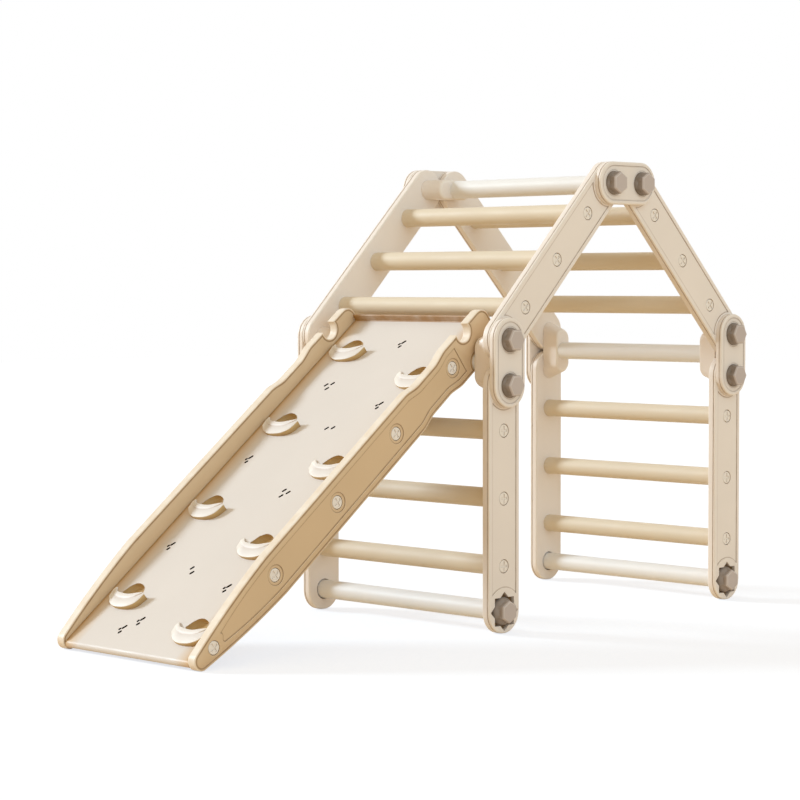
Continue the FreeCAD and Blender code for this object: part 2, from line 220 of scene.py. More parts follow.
class ClimbingFrameRamp(bpy.types.PropertyGroup):
    """Sizes of the ramp's sides and board"""
    tip_radius: length("Tip", "Radius of a side's round tip on the floor", 0.018)
    side_half: length("Side", "Half of a side's width along its straight middle", 0.045)
    taper_length: length("Taper", "Where the sides start to narrow, from the tip", 0.230)
    taper_bulge: length("Taper swell", "How far the tapered edge swells", 0.0037)
    neck_to_hook: length("Neck to hook", "From the start of the neck to the notches", 0.206)
    neck_ease: length("Neck ease", "Length of each flowing step of the neck", 0.045)
    neck_length: length("Neck", "Length of the neck", 0.055)
    neck_half: length("Neck width", "Half of a side's width at the neck", 0.0375)
    hook_reach: length("Hook reach", "From the tip to the notches", 0.896)
    hook_offset: length("Hook offset", "From a notch's centre to the side's middle line", 0.038)
    hook_gap: length("Hook gap", "Clearance of the rod in its notch", 0.0004)
    head_reach: length("Head", "From the notches to the end of a side", 0.079)
    head_corner: length("Head corner", "Round on the head's corners", 0.024)
    edge: length("Edge", "Round along a side's edges", 0.0018)
    groove_depth: length("Groove depth", "Depth of the fine groove along a side's edges", 0.0009)
    # Painted highlight: how pale the lit top of a side is painted
    top_highlight: FloatProperty(
        name="Top highlight", description="How far the lit top of a side is painted pale", default=0.80,
    )
    panel_rim: length("Panel rim", "Rim left beside the shallow panel", 0.015)
    panel_depth: length("Panel depth", "Depth of the shallow panel", 0.0014)
    panel_start: length("Panel start", "Low end of the panel, from the tip", 0.062)
    panel_low_half: length("Panel low width", "Half of the panel's width at its low end", 0.0105)
    panel_wave: length("Panel wave", "Sway of the panel's low end", 0.003)
    panel_end_gap: length("Panel end", "From the panel's high end to the notches", 0.039)
    ring_radius: length("Ring", "Radius of the ring recess round a ramp screw", 0.020)
    ring_depth: length("Ring depth", "Depth of the ring recess round a ramp screw", 0.0014)
    seat_radius: length("Screw seat", "Radius of a ramp screw's seat", 0.0137)
    seat_depth: length("Screw seat depth", "Depth of a ramp screw's seat", 0.0042)
    board_thickness: length("Board", "Thickness of the board", 0.016)
    board_low_end: length("Board nose", "How far the board's nose runs past the tip's centre", 0.017)
    board_setback: length("Board setback", "From the board's upper end to the end of the sides", 0.005)
    board_edge: length("Board edge", "Round along the board's upper end", 0.0009)
    board_seam: length("Board seam", "Open seam between the board and a side", 0.0018)
    end_rise: length("Board end rise", "Height of the upturned end of the board", 0.0128)
    end_thickness: length("Board end thickness", "Thickness of the upturned end of the board", 0.004)
    end_fillet: length("Board end fillet", "Hollow round at the foot of the upturned end", 0.002)


class ClimbingFrameHolds(bpy.types.PropertyGroup):
    """Sizes of the climbing holds and slots on the board"""
    lip_low: length("Lip, left", "Height of the lip at its left end", 0.0030)
    lip_high: length("Lip, right", "Height of the lip at its right end", 0.0148)
    lip_edge: length("Lip edge", "Round along the lip's edges", 0.0016)
    lip_fold: length("Lip fold", "Rise of the rim along the back of the lip", 0.0014)
    pocket_depth: length("Pocket depth", "Depth of a pocket", 0.0125)
    pocket_edge: length("Pocket edge", "Round along a pocket's rim", 0.0018)
    slot_half: length("Slot", "Half of a long slot's straight length", 0.0033)
    slot_radius: length("Slot end", "Radius of a slot's round ends", 0.0026)
    slot_depth: length("Slot depth", "Depth of the slots in the board", 0.003)


class ClimbingFrameColours(bpy.types.PropertyGroup):
    """Colours of the plastics, of the painted shade in slots, pockets, lip fronts and flanges, and of the
    stage
    """
    cream: paint("Cream", "Rails, plates and hubs", 234, 225, 218)
    ivory: paint("Ivory", "Cross rods", 232, 231, 231)
    rung_tan: paint("Rung tan", "Rungs", 220, 207, 186)
    ramp_tan: paint("Ramp tan", "Ramp sides", 213, 186, 151)
    board: paint("Board ivory", "Climbing board", 218, 211, 206)
    taupe: paint("Taupe", "Bolts", 191, 179, 174)
    white: paint("Screw white", "Screw caps", 236, 229, 222)
    # Painted shade: near black inside the board's slots
    slot: paint("Slot shade", "Inside of the board's slots", 48, 34, 20)
    # Painted shade: dark brown for the foot bolts' flanges, deep in the star recesses
    flange: paint("Flange shade", "Foot bolts' flanges in the star recesses", 118, 92, 62)
    # Painted shade: deep tan in the holds' pockets and on their fronts
    pocket: paint("Pocket shade", "Pockets and fronts of the holds", 198, 167, 116)
    floor: paint("Floor", "Floor of the stage, as the camera sees it", 168, 168, 168)
    bounce: paint("Bounce", "Floor of the stage, as the pieces see it", 230, 206, 168)


def obround(half, radius):
    """Closed outline of a round-ended strip: a half circle about (0, half), and the same turned about
    the origin."""
    turn = np.linspace(0.0, np.pi, ARC_STEPS)
    top = np.stack([radius * np.cos(turn), half + radius * np.sin(turn)], 1)
    return np.concatenate([top, -top])


def circle(radius, at=(0.0, 0.0), steps=ROUND_STEPS):
    """Closed outline of a circle: radius times the cosine and sine of a turn that starts at the right."""
    turn = np.arange(steps) * 2 * np.pi / steps
    return np.stack([radius * np.cos(turn), radius * np.sin(turn)], 1) + np.asarray(at)


def star(tip, at=(0.0, 0.0)):
    """Closed outline of an eight-point star, tip up: at even turns its radius is a tip's or a valley's."""
    number = np.arange(2 * STAR_POINTS)
    radius = np.where(number % 2 == 0, tip, tip * STAR_VALLEY)
    turn = np.pi / 2 + number * np.pi / STAR_POINTS
    return np.stack([radius * np.cos(turn), radius * np.sin(turn)], 1) + np.asarray(at)


def bolt_ring(across, turn, roundness, radius):
    """Closed outline between a hexagon with rounded corners and a circle. The hexagon's radius at a turn is
    half its width over a high root of the sum of the same high powers of the cosines to its six flats."""
    angle = np.arange(BOLT_STEPS) * 2 * np.pi / BOLT_STEPS
    flats = turn + np.arange(6)[:, None] * np.pi / 3
    nearness = (np.maximum(np.cos(angle - flats), 0.0) ** HEX_POWER).sum(0) ** (1 / HEX_POWER)
    reach = (1 - roundness) * across / 2 / nearness + roundness * radius
    return np.stack([reach * np.cos(angle), reach * np.sin(angle)], 1)


def cross(arm, half):
    """Closed outline of a plus sign: one arm's three corners, turned by quarters."""
    corners = np.array([[arm, -half], [arm, half], [half, half]])
    turns = np.arange(4) * np.pi / 2
    turned = [corners @ np.array([[np.cos(a), np.sin(a)], [-np.sin(a), np.cos(a)]]) for a in turns]
    return np.concatenate(turned)


def bow(start, middle, end, steps):
    """Quadratic curve between two points that passes through a third at its middle."""
    start, middle, end = (np.asarray(point, float) for point in (start, middle, end))
    pull = (4 * middle - start - end) / 2
    t = np.linspace(0.0, 1.0, steps)[:, None]
    return (1 - t) ** 2 * start + 2 * t * (1 - t) * pull + t ** 2 * end


def flow(start, end, steps):
    """S-shaped curve between two points, level at both: the height follows 3t^2 - 2t^3 of the way along."""
    start, end = np.asarray(start, float), np.asarray(end, float)
    t = np.linspace(0.0, 1.0, steps)
    ease = t * t * (3 - 2 * t)
    return np.stack([start[0] + (end[0] - start[0]) * t, start[1] + (end[1] - start[1]) * ease], 1)


def arc(centre, radius, start, end, steps):
    """Part of a circle about a centre, from one turn in degrees to another."""
    turn = np.radians(np.linspace(start, end, steps))
    return np.asarray(centre) + radius * np.stack([np.cos(turn), np.sin(turn)], 1)


def chained(*stretches):
    """One line of points from stretches that meet end to end, with each meeting point kept once."""
    rest = [stretch[1:] for stretch in map(np.asarray, stretches[1:])]
    return np.concatenate([np.asarray(stretches[0])] + rest)


def mirrored(upper):
    """Closed outline from its upper edge, which runs from one end of the middle line to the other."""
    lower = upper * (1, -1)
    return np.concatenate([lower[:-1], upper[::-1][:-1]])


def foot_round(height, radius):
    """Profile of a rounded lower edge: a quarter circle from the face below, out to the wall."""
    turn = np.linspace(0.0, np.pi / 2, EDGE_STEPS + 1)
    inset = np.r_[radius + HAIR, radius * (1 - np.sin(turn)), 0.0]
    rise = np.r_[0.0, radius * (1 - np.cos(turn)), radius + HAIR]
    # Edge value: scuffing and a painted highlight, strongest halfway round the edge
    rub = np.r_[0.0, np.sin(2 * turn), 0.0]
    return np.stack([inset, height + rise, rub], 1)


def edge_round(height, radius, inset=0.0):
    """Profile of a rounded upper edge: a quarter circle from the wall, in to the face above."""
    below = foot_round(0.0, radius)[::-1]
    return below * (1, -1, 1) + (inset, height, 0)


def recess(height, depth, lip, foot, painted_shade=PAINTED_SHADE_RUN, shade=1.0):
    """Profile of a hole's wall, from the face above down to its floor, with a rounded rim and a rounded foot.
    The edge value is scuffing and a painted highlight on the rim, goes below zero for painted shade down in
    the crease, and comes back to zero on the floor over the run of that shade. Shade is how dark it is."""
    turn = np.linspace(0.0, np.pi / 2, EDGE_STEPS // 2 + 1)
    rim = np.stack([lip * (np.sin(turn) - 1), -lip * (1 - np.cos(turn)), RIM_SCUFFING_AND_LIGHT * np.sin(2 * turn)], 1)
    toe = np.stack([foot * (1 - np.cos(turn)), foot * (1 - np.sin(turn)) - depth, 0 * turn - 1], 1)
    start = [[-lip - HAIR, 0.0, 0.0]]
    wall = [[0.0, -lip - HAIR, WALL_SHADE], [0.0, foot + HAIR - depth, -1.0]]
    end = [[foot + HAIR, -depth, RECESS_FLOOR_SHADE], [foot + HAIR + painted_shade, -depth, 0.0]]
    profile = np.concatenate([start, rim, wall, toe, end])
    profile[:, 2] *= np.where(profile[:, 2] < 0, shade, 1.0)
    return profile + (0.0, height, 0.0)


def groove(height, inset, sunk):
    """Profile of a fine groove in a face: down, across its floor and up again, in shade below."""
    across, down, rub = np.array([[0.0, 0.3, 0.7, 1.0], [0.0, 1.0, 1.0, 0.0], [0.0, -1.0, -1.0, 0.0]])
    return np.stack([inset + GROOVE_WIDTH * across, height + sunk * down, rub], 1)


def parting(height, sunk):
    """Profile of the parting line round a piece's side: in, along its floor and out again, in shade below."""
    rise, inset, rub = np.array([[-0.5, -0.25, 0.25, 0.5], [0.0, 1.0, 1.0, 0.0], [0.0, -1.0, -1.0, 0.0]])
    return np.stack([sunk * inset, height + PARTING_WIDTH * rise, rub], 1)


def carried(outline, profile):
    """Profile carried round a closed outline. Each corner moves inward along its mitre, the sum of the two
    sides' normals over one plus their product, by the profile's inset, and up by the profile's height."""
    leaving = np.roll(outline, -1, 0) - outline
    leaving = leaving / np.linalg.norm(leaving, axis=1, keepdims=True)
    inward = np.stack([-leaving[:, 1], leaving[:, 0]], 1)
    arriving = np.roll(inward, 1, 0)
    mitre = (inward + arriving) / (1 + (inward * arriving).sum(1, keepdims=True))
    drawn_in = outline + profile[:, None, :1] * mitre
    height = np.broadcast_to(profile[:, None, 1:2], drawn_in.shape[:2] + (1,))
    return np.concatenate([drawn_in, height], 2)


def level(outline, height):
    """An outline as a ring of points at one height."""
    return np.column_stack([outline, np.full(len(outline), height)])


def odd_crossings(places, starts, ends):
    """Which places lie inside an outline: a line to the right of each crosses an odd number of its edges."""
    x, y = places[:, :1], places[:, 1:]
    spans = (starts[:, 1] > y) != (ends[:, 1] > y)
    rise = np.where(ends[:, 1] == starts[:, 1], 1.0, ends[:, 1] - starts[:, 1])
    crossing = starts[:, 0] + (y - starts[:, 1]) * (ends[:, 0] - starts[:, 0]) / rise
    return (spans & (crossing > x)).sum(1) % 2 == 1


class Moulding:
    """Strips and flat faces gathered into one mesh, on a piece's own across, along and out axes. The edge
    value is 1 on rounded edges, for scuffing and a painted highlight, 0 on faces and -1 in creases, for
    painted shade; finish is the number of a face's material."""

    def __init__(self):
        self.points = []
        self.scuffing_and_light_lists = []
        self.faces = []
        self.finishes = []
        self.count = 0

    def add(self, points, rub, faces, finish):
        """Keeps some points and the faces between them, numbered from the first of those points."""
        self.points.append(points.reshape(-1, 3))
        self.scuffing_and_light_lists.append(np.broadcast_to(rub, points.shape[:-1]).reshape(-1))
        self.faces += (faces + self.count).tolist()
        self.finishes += [finish] * len(faces)
        self.count += len(self.points[-1])

    def strips(self, stack, rub=0.0, finish=0, closed=True):
        """Faces between each ring of points and the next, given as an array of rings by points by 3."""
        rows, columns = stack.shape[:2]
        number = np.arange(rows * columns).reshape(rows, columns)
        here = number if closed else number[:, :-1]
        ahead = np.roll(number, -1, 1) if closed else number[:, 1:]
        faces = np.stack([here[:-1], ahead[:-1], ahead[1:], here[1:]], -1).reshape(-1, 4)
        self.add(stack, np.asarray(rub), faces, finish)

    def wall(self, outline, profile, finish=0):
        """Profile carried round an outline. Gives back its first and last rings."""
        stack = carried(outline, profile)
        self.strips(stack, profile[:, 2][:, None], finish)
        return stack[0], stack[-1]

    def flat(self, loops, out=True, finish=0):
        """Flat face inside the first loop and outside the others, facing out or in."""
        points = np.concatenate(loops)
        starts = np.cumsum([0] + [len(loop) for loop in loops])
        number = np.arange(len(points))
        following = np.concatenate([np.roll(number[low:high], -1) for low, high in zip(starts, starts[1:])])
        flat_points = [Vector(point) for point in points[:, :2].tolist()]
        edges = np.stack([number, following], 1).tolist()
        corners, _, faces, *_ = delaunay_2d_cdt(flat_points, edges, [], 1, TOUCH)
        if len(corners) != len(points):
            raise ValueError("two loops of a flat face cross or touch")
        faces = np.array(faces)
        corner = points[faces][:, :, :2]
        faces = faces[odd_crossings(corner.mean(1), points[:, :2], points[following][:, :2])]
        corner = points[faces][:, :, :2]
        first, second = corner[:, 1] - corner[:, 0], corner[:, 2] - corner[:, 0]
        area = first[:, 0] * second[:, 1] - first[:, 1] * second[:, 0]
        wrong = (area < 0) if out else (area > 0)
        faces[wrong] = faces[wrong][:, ::-1]
        self.add(points, 0.0, faces, finish)

    def sink(self, outline, profile, finish=0):
        """Recess with a flat floor. Gives back its rim on the face above."""
        rim, floor = self.wall(outline, profile, finish)
        self.flat([floor], finish=finish)
        return rim

    def close(self, low, high, finish=0):
        """Flat faces inside the lowest and the highest ring of a shape."""
        self.flat([low], out=False, finish=finish)
        self.flat([high], finish=finish)

    def fan(self, ring, finish=0):
        """Closes a ring with faces that meet in its middle."""
        points = np.concatenate([ring, ring.mean(0, keepdims=True)])
        number = np.arange(len(ring))
        faces = np.stack([number, np.roll(number, -1), np.full(len(ring), len(ring))], 1)
        self.add(points, 0.0, faces, finish)

    def flat_end(self, ring):
        """Flat face inside a ring that stands across the board, as one many-sided face."""
        self.add(ring, 0.0, np.arange(len(ring))[None], 0)

    def piece(self, name, copies, materials, body, nodes=(), slot=None):
        """Mesh object of the moulding, once for each copy, which is an origin and three axes.
        Equal points are welded."""
        local = np.concatenate(self.points)
        _, keep, back = np.unique(np.round(local / WELD).astype(np.int64), axis=0,
                                  return_index=True, return_inverse=True)
        back = back.reshape(-1)
        rub = np.concatenate(self.scuffing_and_light_lists)[keep]
        world = np.concatenate([origin + local[keep] @ axes for origin, axes in copies])
        faces = [[int(back[corner]) + len(keep) * copy for corner in face]
                 for copy in range(len(copies)) for face in self.faces]
        mesh = bpy.data.meshes.new(name)
        mesh.from_pydata(world, [], faces)
        # Edge value per point: scuffing and a painted highlight above zero, painted shade below zero
        mesh.attributes.new("edge_rub", "FLOAT", "POINT").data.foreach_set("value", np.tile(rub, len(copies)))
        mesh.polygons.foreach_set("material_index", np.tile(self.finishes, len(copies)).astype(np.int32))
        for material in materials:
            mesh.materials.append(material)
        mesh.shade_smooth()
        mesh.set_sharp_from_angle(angle=SHARP_ANGLE)
        mesh.update()
        obj = bpy.data.objects.new(name, mesh)
        bpy.context.scene.collection.objects.link(obj)
        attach(obj, body)
        if nodes:
            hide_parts(*nodes)
        return obj


def axes_of(side, along):
    """Across, along and out directions of a piece, with out towards +Y or -Y."""
    out = np.array([0.0, side, 0.0])
    return np.stack([np.cross(along, out), along, out])


def node_tree(name):
    """Material of this name with a fresh Principled shader, and the tree that it stands in."""
    material = bpy.data.materials.get(name) or bpy.data.materials.new(name)
    material.use_nodes = True
    tree = material.node_tree
    tree.nodes.clear()
    shader = tree.nodes.new("ShaderNodeBsdfPrincipled")
    output = tree.nodes.new("ShaderNodeOutputMaterial")
    tree.links.new(shader.outputs["BSDF"], output.inputs["Surface"])
    return material, tree, shader


def noise(tree, place, scale, detail):
    """Noise texture at a place, with this many lumps to the metre."""
    node = tree.nodes.new("ShaderNodeTexNoise")
    node.inputs["Scale"].default_value = scale
    node.inputs["Detail"].default_value = detail
    tree.links.new(place, node.inputs["Vector"])
    return node.outputs["Fac"]


def spread(tree, value, low, high, to_low, to_high):
    """Value stretched from one range to another, and held inside it."""
    node = tree.nodes.new("ShaderNodeMapRange")
    for socket, number in zip(("From Min", "From Max", "To Min", "To Max"), (low, high, to_low, to_high)):
        node.inputs[socket].default_value = number
    tree.links.new(value, node.inputs["Value"])
    return node.outputs["Result"]


def blended(tree, share, first, second):
    """Colour between two others, each a colour or a socket."""
    node = tree.nodes.new("ShaderNodeMix")
    node.data_type = "RGBA"
    tree.links.new(share, node.inputs["Factor"])
    for socket, colour in ((node.inputs[6], first), (node.inputs[7], second)):
        if isinstance(colour, bpy.types.NodeSocket):
            tree.links.new(colour, socket)
        else:
            socket.default_value = (*colour, 1.0)
    return node.outputs[2]


def tinted(colour, share):
    """A colour made lighter or darker by a share, and kept below full white."""
    return tuple(min(channel * share, PALEST) for channel in colour)


def toned(colour, shares):
    """A colour with a share of each of its channels left."""
    return tuple(channel * share for channel, share in zip(colour, shares))


def product(tree, first, second):
    """Two values multiplied."""
    node = tree.nodes.new("ShaderNodeMath")
    node.operation = "MULTIPLY"
    tree.links.new(first, node.inputs[0])
    tree.links.new(second, node.inputs[1])
    return node.outputs["Value"]


def distance_across(tree, place):
    """Distance of a place from the frame's middle plane: the size of its Y."""
    parts = tree.nodes.new("ShaderNodeSeparateXYZ")
    tree.links.new(place, parts.inputs["Vector"])
    node = tree.nodes.new("ShaderNodeMath")
    node.operation = "ABSOLUTE"
    tree.links.new(parts.outputs["Y"], node.inputs[0])
    return node.outputs["Value"]


PALEST = 0.98                        # brightest that a tinted colour gets
PALE_EDGE = (0.90, 0.86, 0.80)       # colour that edges turn towards, scuffed pale and painted as a highlight
CREASE_SHARE = (0.42, 0.32, 0.23)    # painted shade: share of a plastic's colour left in its creases
BOARD_CREASE = (0.46, 0.22, 0.02)    # the same on the board: painted shade in the tan of the sides
BOLT_CREASE = (0.20, 0.16, 0.09)     # the same on the bolts: painted shade in their creases and on their sides
SIDE_SHADE = (0.88, 0.65, 0.37)       # painted shade: share of the board's colour left beside the sides, tinted with their tan
SIDE_SHADE_REACH = 0.042              # how far from a side the board gets that painted shade, in metres
SATIN, DULL = 0.35, 0.08             # specular levels of the pieces, and of what lies in shade

# Noises in a plastic: lumps to the metre, and detail
MELT, SPECKS, PATCHES, HAND_MARKS, GRAIN = (6.0, 3.0), (260.0, 3.0), (38.0, 4.0), (14.0, 5.0), (900.0, 2.0)
NOISE_RANGE = (0.3, 0.7)             # part of a noise's range that is used
SPECK_RANGE = (0.62, 0.74)           # part of it that makes specks
SPECK_SHARE = 0.10                   # how strong the specks are
SPECK_TINT = 0.80                    # how dark they are, as a share of the plastic's colour
PALING_RANGE = (0.6, 1.0)              # how unevenly edges are scuffed and painted pale
SHADE_RANGE = (0.9, 0.6)             # how unevenly the painted shade in creases falls
ROUGHNESS_SWAY = 0.07                # how far hand marks change the roughness
GRAIN_HEIGHT = 0.0003                # in metres


def satin_plastic(name, colour, roughness, mottle=0.03, grain=0.10, pale_edge=0.5, crease=CREASE_SHARE,
                  gloss=SATIN, painted_side_shade=False):
    """Moulded plastic: a cloudy colour from the melt, a fine spark-eroded grain, uneven satin gloss with
    faint hand marks, edges scuffed paler with a painted highlight, and painted warm shade in the creases.
    If asked, it gets painted shade in the tan of the ramp's sides, the more the nearer a place is to them."""
    material, tree, shader = node_tree(name)
    place = tree.nodes.new("ShaderNodeTexCoord").outputs["Object"]
    # Edge value: scuffing and a painted highlight above zero, painted shade below zero
    attribute = tree.nodes.new("ShaderNodeAttribute")
    attribute.attribute_name = "edge_rub"
    rub = attribute.outputs["Fac"]
    cloud = spread(tree, noise(tree, place, *MELT), *NOISE_RANGE, 0.0, 1.0)
    melt = blended(tree, cloud, tinted(colour, 1 - mottle), tinted(colour, 1 + mottle / 2))
    speck = spread(tree, noise(tree, place, *SPECKS), *SPECK_RANGE, 0.0, SPECK_SHARE)
    flecked = blended(tree, speck, melt, tinted(colour, SPECK_TINT))
    patchiness = noise(tree, place, *PATCHES)
    # Pale edges: scuffing and a painted highlight, patchy
    paling_spread = spread(tree, patchiness, *NOISE_RANGE, *PALING_RANGE)
    scuffed_and_highlit = product(tree, spread(tree, rub, 0.0, 1.0, 0.0, pale_edge), paling_spread)
    scuffed_and_painted = blended(tree, scuffed_and_highlit, flecked, PALE_EDGE)
    # Painted shade in the tan of the ramp's sides, deeper nearer to them
    if painted_side_shade:
        near = spread(tree, distance_across(tree, place), SIDE_INNER - SIDE_SHADE_REACH, SIDE_INNER, 0.0, 1.0)
        scuffed_and_painted = blended(tree, near, scuffed_and_painted, toned(colour, SIDE_SHADE))
    # Painted shade in the creases, patchy
    depth = spread(tree, patchiness, *NOISE_RANGE, *SHADE_RANGE)
    painted_shade = product(tree, spread(tree, rub, 0.0, -1.0, 0.0, 1.0), depth)
    tree.links.new(blended(tree, painted_shade, scuffed_and_painted, toned(colour, crease)), shader.inputs["Base Color"])
    marks = noise(tree, place, *HAND_MARKS)
    sway = spread(tree, marks, *NOISE_RANGE, roughness - ROUGHNESS_SWAY, roughness + ROUGHNESS_SWAY)
    tree.links.new(sway, shader.inputs["Roughness"])
    bump = tree.nodes.new("ShaderNodeBump")
    bump.inputs["Strength"].default_value = grain
    bump.inputs["Distance"].default_value = GRAIN_HEIGHT
    tree.links.new(noise(tree, place, *GRAIN), bump.inputs["Height"])
    tree.links.new(bump.outputs["Normal"], shader.inputs["Normal"])
    shader.inputs["Specular IOR Level"].default_value = gloss
    return material


# Finishes of the pieces: colour, roughness, and what else differs from plain satin
# Ivory of the board and the lips: edges scuffed and painted pale as a highlight, creases in painted shade
IVORY_BOARD = {"mottle": 0.02, "grain": 0.14, "pale_edge": 0.9, "crease": BOARD_CREASE}
PLASTICS = {
    # Satin cream of the rails, plates and hubs
    "cream_plastic": ("cream", 0.48, {}),
    # Smoother ivory of the cross rods
    "ivory_plastic": ("ivory", 0.50, {"mottle": 0.02, "grain": 0.06}),
    # Warm tan of the rungs, and the deeper tan of the ramp's sides, whose edges and top take a painted
    # highlight
    "rung_plastic": ("rung_tan", 0.56, {"grain": 0.07}),
    "ramp_plastic": ("ramp_tan", 0.50, {"pale_edge": 0.9}),
    # Pale, slightly rougher ivory of the board, with painted shade in the sides' tan beside them, and of the
    # holds' lips, which stand clear of that painted shade
    "board_plastic": ("board", 0.50, {**IVORY_BOARD, "painted_side_shade": True}),
    "lip_plastic": ("board", 0.50, IVORY_BOARD),
    # Taupe of the bolts, and the dark brown painted shade on the foot bolts' flanges, deep in the star
    # recesses
    "bolt_plastic": ("taupe", 0.46, {"mottle": 0.05, "crease": BOLT_CREASE}),
    "flange_plastic": ("flange", 0.6, {"mottle": 0.10, "gloss": DULL}),
    # Near white of the screw caps
    "screw_plastic": ("white", 0.38, {"mottle": 0.02}),
    # Deeper tan painted shade in the holds' pockets and on their fronts, and dark painted shade in the slots
    "pocket_plastic": ("pocket", 0.5, {"mottle": 0.06}),
    "slot_plastic": ("slot", 0.6, {"mottle": 0.10, "gloss": DULL}),
}


def finish_of(name):
    """Material of a finish in the list of plastics, in its present colour."""
    colour, roughness, differences = PLASTICS[name]
    return satin_plastic(name, getattr(bpy.context.scene.climbing_colours, colour), roughness, **differences)


def rail_panel(sizes):
    """Closed outline of a rail's shallow panel: straight sides, and ends that curve round the star holes."""
    half = RAIL_WIDTH / 2 - sizes.panel_margin
    reach = math.degrees(math.asin(half / sizes.panel_end))
    low = arc((0.0, 0.0), sizes.panel_end, 90 + reach, 90 - reach, ARC_STEPS)
    high = arc((0.0, PANEL_LENGTH), sizes.panel_end, reach - 90, -90 - reach, ARC_STEPS)
    return np.concatenate([low, high])


def star_wall(shape, steps, along=0.0, finish=0):
    """Faces between stars, each given by its tip radius, height, and value for scuffing and painted light.
    Gives back the first and last.
    """
    stack = np.stack([level(star(tip, (0.0, along)), height) for tip, height, _ in steps])
    shape.strips(stack, np.array([rub for _, _, rub in steps])[:, None], finish)
    return stack[0], stack[-1]


def star_recess(shape, sizes, along):
    """Star recess in a rail's outer face: stars that get a little smaller downwards. Gives back its rim."""
    wide, lip = sizes.star_outer, sizes.lip
    floor = RAIL_THICKNESS - sizes.star_step
    # Edge values: a painted highlight on the rim, painted shade down the wall to the floor
    rim, bottom = star_wall(shape, (
        (wide + lip + HAIR, RAIL_THICKNESS, 0.0), (wide + lip, RAIL_THICKNESS, 0.5),
        (wide, RAIL_THICKNESS - lip, -0.5), (wide - lip, floor, -1.0), (wide - lip - HAIR, floor, -1.0),
    ), along)
    shape.flat([bottom])
    return rim


def rail_moulding(sizes, foot, socket):
    """Rail with rounded edges, a shallow panel with three screw seats, and a star recess at each end.
    Foot is how far it may reach below its lower star. A rail with a socket takes a rod behind that star."""
    shape = Moulding()
    outline = obround(PANEL_LENGTH / 2, RAIL_WIDTH / 2) + (0.0, PANEL_LENGTH / 2)
    outline[:, 1] = np.maximum(outline[:, 1], -foot)
    line = parting(RAIL_THICKNESS - sizes.edge - PARTING_WIDTH, sizes.parting_depth)
    edges = np.concatenate([foot_round(0.0, sizes.edge), line, edge_round(RAIL_THICKNESS, sizes.edge)])
    inner, outer = shape.wall(outline, edges)
    stars = [star_recess(shape, sizes, along) for along in (0.0, PANEL_LENGTH)]
    step = recess(RAIL_THICKNESS, sizes.panel_depth, sizes.lip, sizes.lip)
    rim, floor = shape.wall(rail_panel(sizes), step)
    seat = recess(RAIL_THICKNESS - sizes.panel_depth, sizes.seat_depth, sizes.lip, sizes.lip)
    places = np.linspace(END_PITCH, PANEL_LENGTH - END_PITCH, len(RUNGS))
    seats = [shape.sink(circle(sizes.seat_radius, (0.0, along)), seat) for along in places]
    shape.flat([outer, rim] + stars)
    shape.flat([floor] + seats)
    holes = []
    if socket:
        mouth = circle(ROD_RADIUS + sizes.socket_gap, steps=BAR_STEPS)
        bore = recess(0.0, sizes.socket_depth, sizes.lip, sizes.lip)[::-1] * (1, -1, 1)
        deep, rim = shape.wall(mouth, bore)
        shape.flat([deep], out=False)
        holes.append(rim)
    shape.flat([inner] + holes, out=False)
    return shape


def panel_place(panel):
    """Lower star hole of a ladder panel on the middle plane, and the direction up along its rails."""
    low, high = middle_of(panel + "_rung_lower"), middle_of(panel + "_rung_upper")
    along = (high - low) / np.linalg.norm(high - low)
    return low - along * END_PITCH, along


def on_side(place, side, distance):
    """A place of the middle plane moved out to one side of the frame."""
    return place + np.array([0.0, side * distance, 0.0])


class MakeRails(bpy.types.Operator):
    """Make the eight rails, with their star holes, panels and screw seats"""
    bl_idname = "climbing.make_rails"
    bl_label = "Rails"

    def execute(self, context):
        sizes = context.scene.climbing_rails
        leg = rail_moulding(sizes, foot=FOOT_HEIGHT, socket=True)
        roof = rail_moulding(sizes, foot=RAIL_WIDTH, socket=False)
        plastic = finish_of("cream_plastic")
        for panel in PANELS:
            shape = leg if panel.endswith("leg") else roof
            low, along = panel_place(panel)
            for name, side in SIDES.items():
                node = f"{panel}_rail_{name}"
                copy = (on_side(low, side, RAIL_INNER), axes_of(side, along))
                shape.piece(node + "_moulding", [copy], [plastic], "frame", [node], "frame_cream")
        return {"FINISHED"}


def bar_moulding(radius, half):
    """Round bar across the frame: a circle carried straight along Y, with closed ends."""
    shape = Moulding()
    profile = np.concatenate([foot_round(-half, BAR_EDGE), edge_round(half, BAR_EDGE)])
    shape.close(*shape.wall(circle(radius, steps=BAR_STEPS), profile))
    return shape


class MakeRungs(bpy.types.Operator):
    """Make the twelve rungs"""
    bl_idname = "climbing.make_rungs"
    bl_label = "Rungs"

    def execute(self, context):
        shape = bar_moulding(RUNG_RADIUS, RAIL_INNER)
        plastic = finish_of("rung_plastic")
        for panel in PANELS:
            for rung in RUNGS:
                node = f"{panel}_rung_{rung}"
                copy = (middle_of(node), axes_of(1.0, UP))
                shape.piece(node + "_moulding", [copy], [plastic], "frame", [node], "rung_tan")
        return {"FINISHED"}


class MakeRods(bpy.types.Operator):
    """Make the five cross rods"""
    bl_idname = "climbing.make_rods"
    bl_label = "Cross rods"

    def execute(self, context):
        plastic = finish_of("ivory_plastic")
        for node in ("front_foot_rod", "rear_foot_rod", "front_joint_rod", "rear_joint_rod", "ridge_rod"):
            shape = bar_moulding(ROD_RADIUS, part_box(node)[1].y)
            copy = (middle_of(node), axes_of(1.0, UP))
            shape.piece(node + "_moulding", [copy], [plastic], "frame", [node], "rod_ivory")
        return {"FINISHED"}


def joint_copies(joint, inward=False):
    """Right and left places of a joint's pieces on the rails' inner faces, facing out or in."""
    along = ALONG_X if joint == "ridge" else UP
    middle = middle_of(joint + "_rod")
    facing = -1.0 if inward else 1.0
    return [(on_side(middle, side, RAIL_INNER), axes_of(side * facing, along)) for side in SIDES.values()]


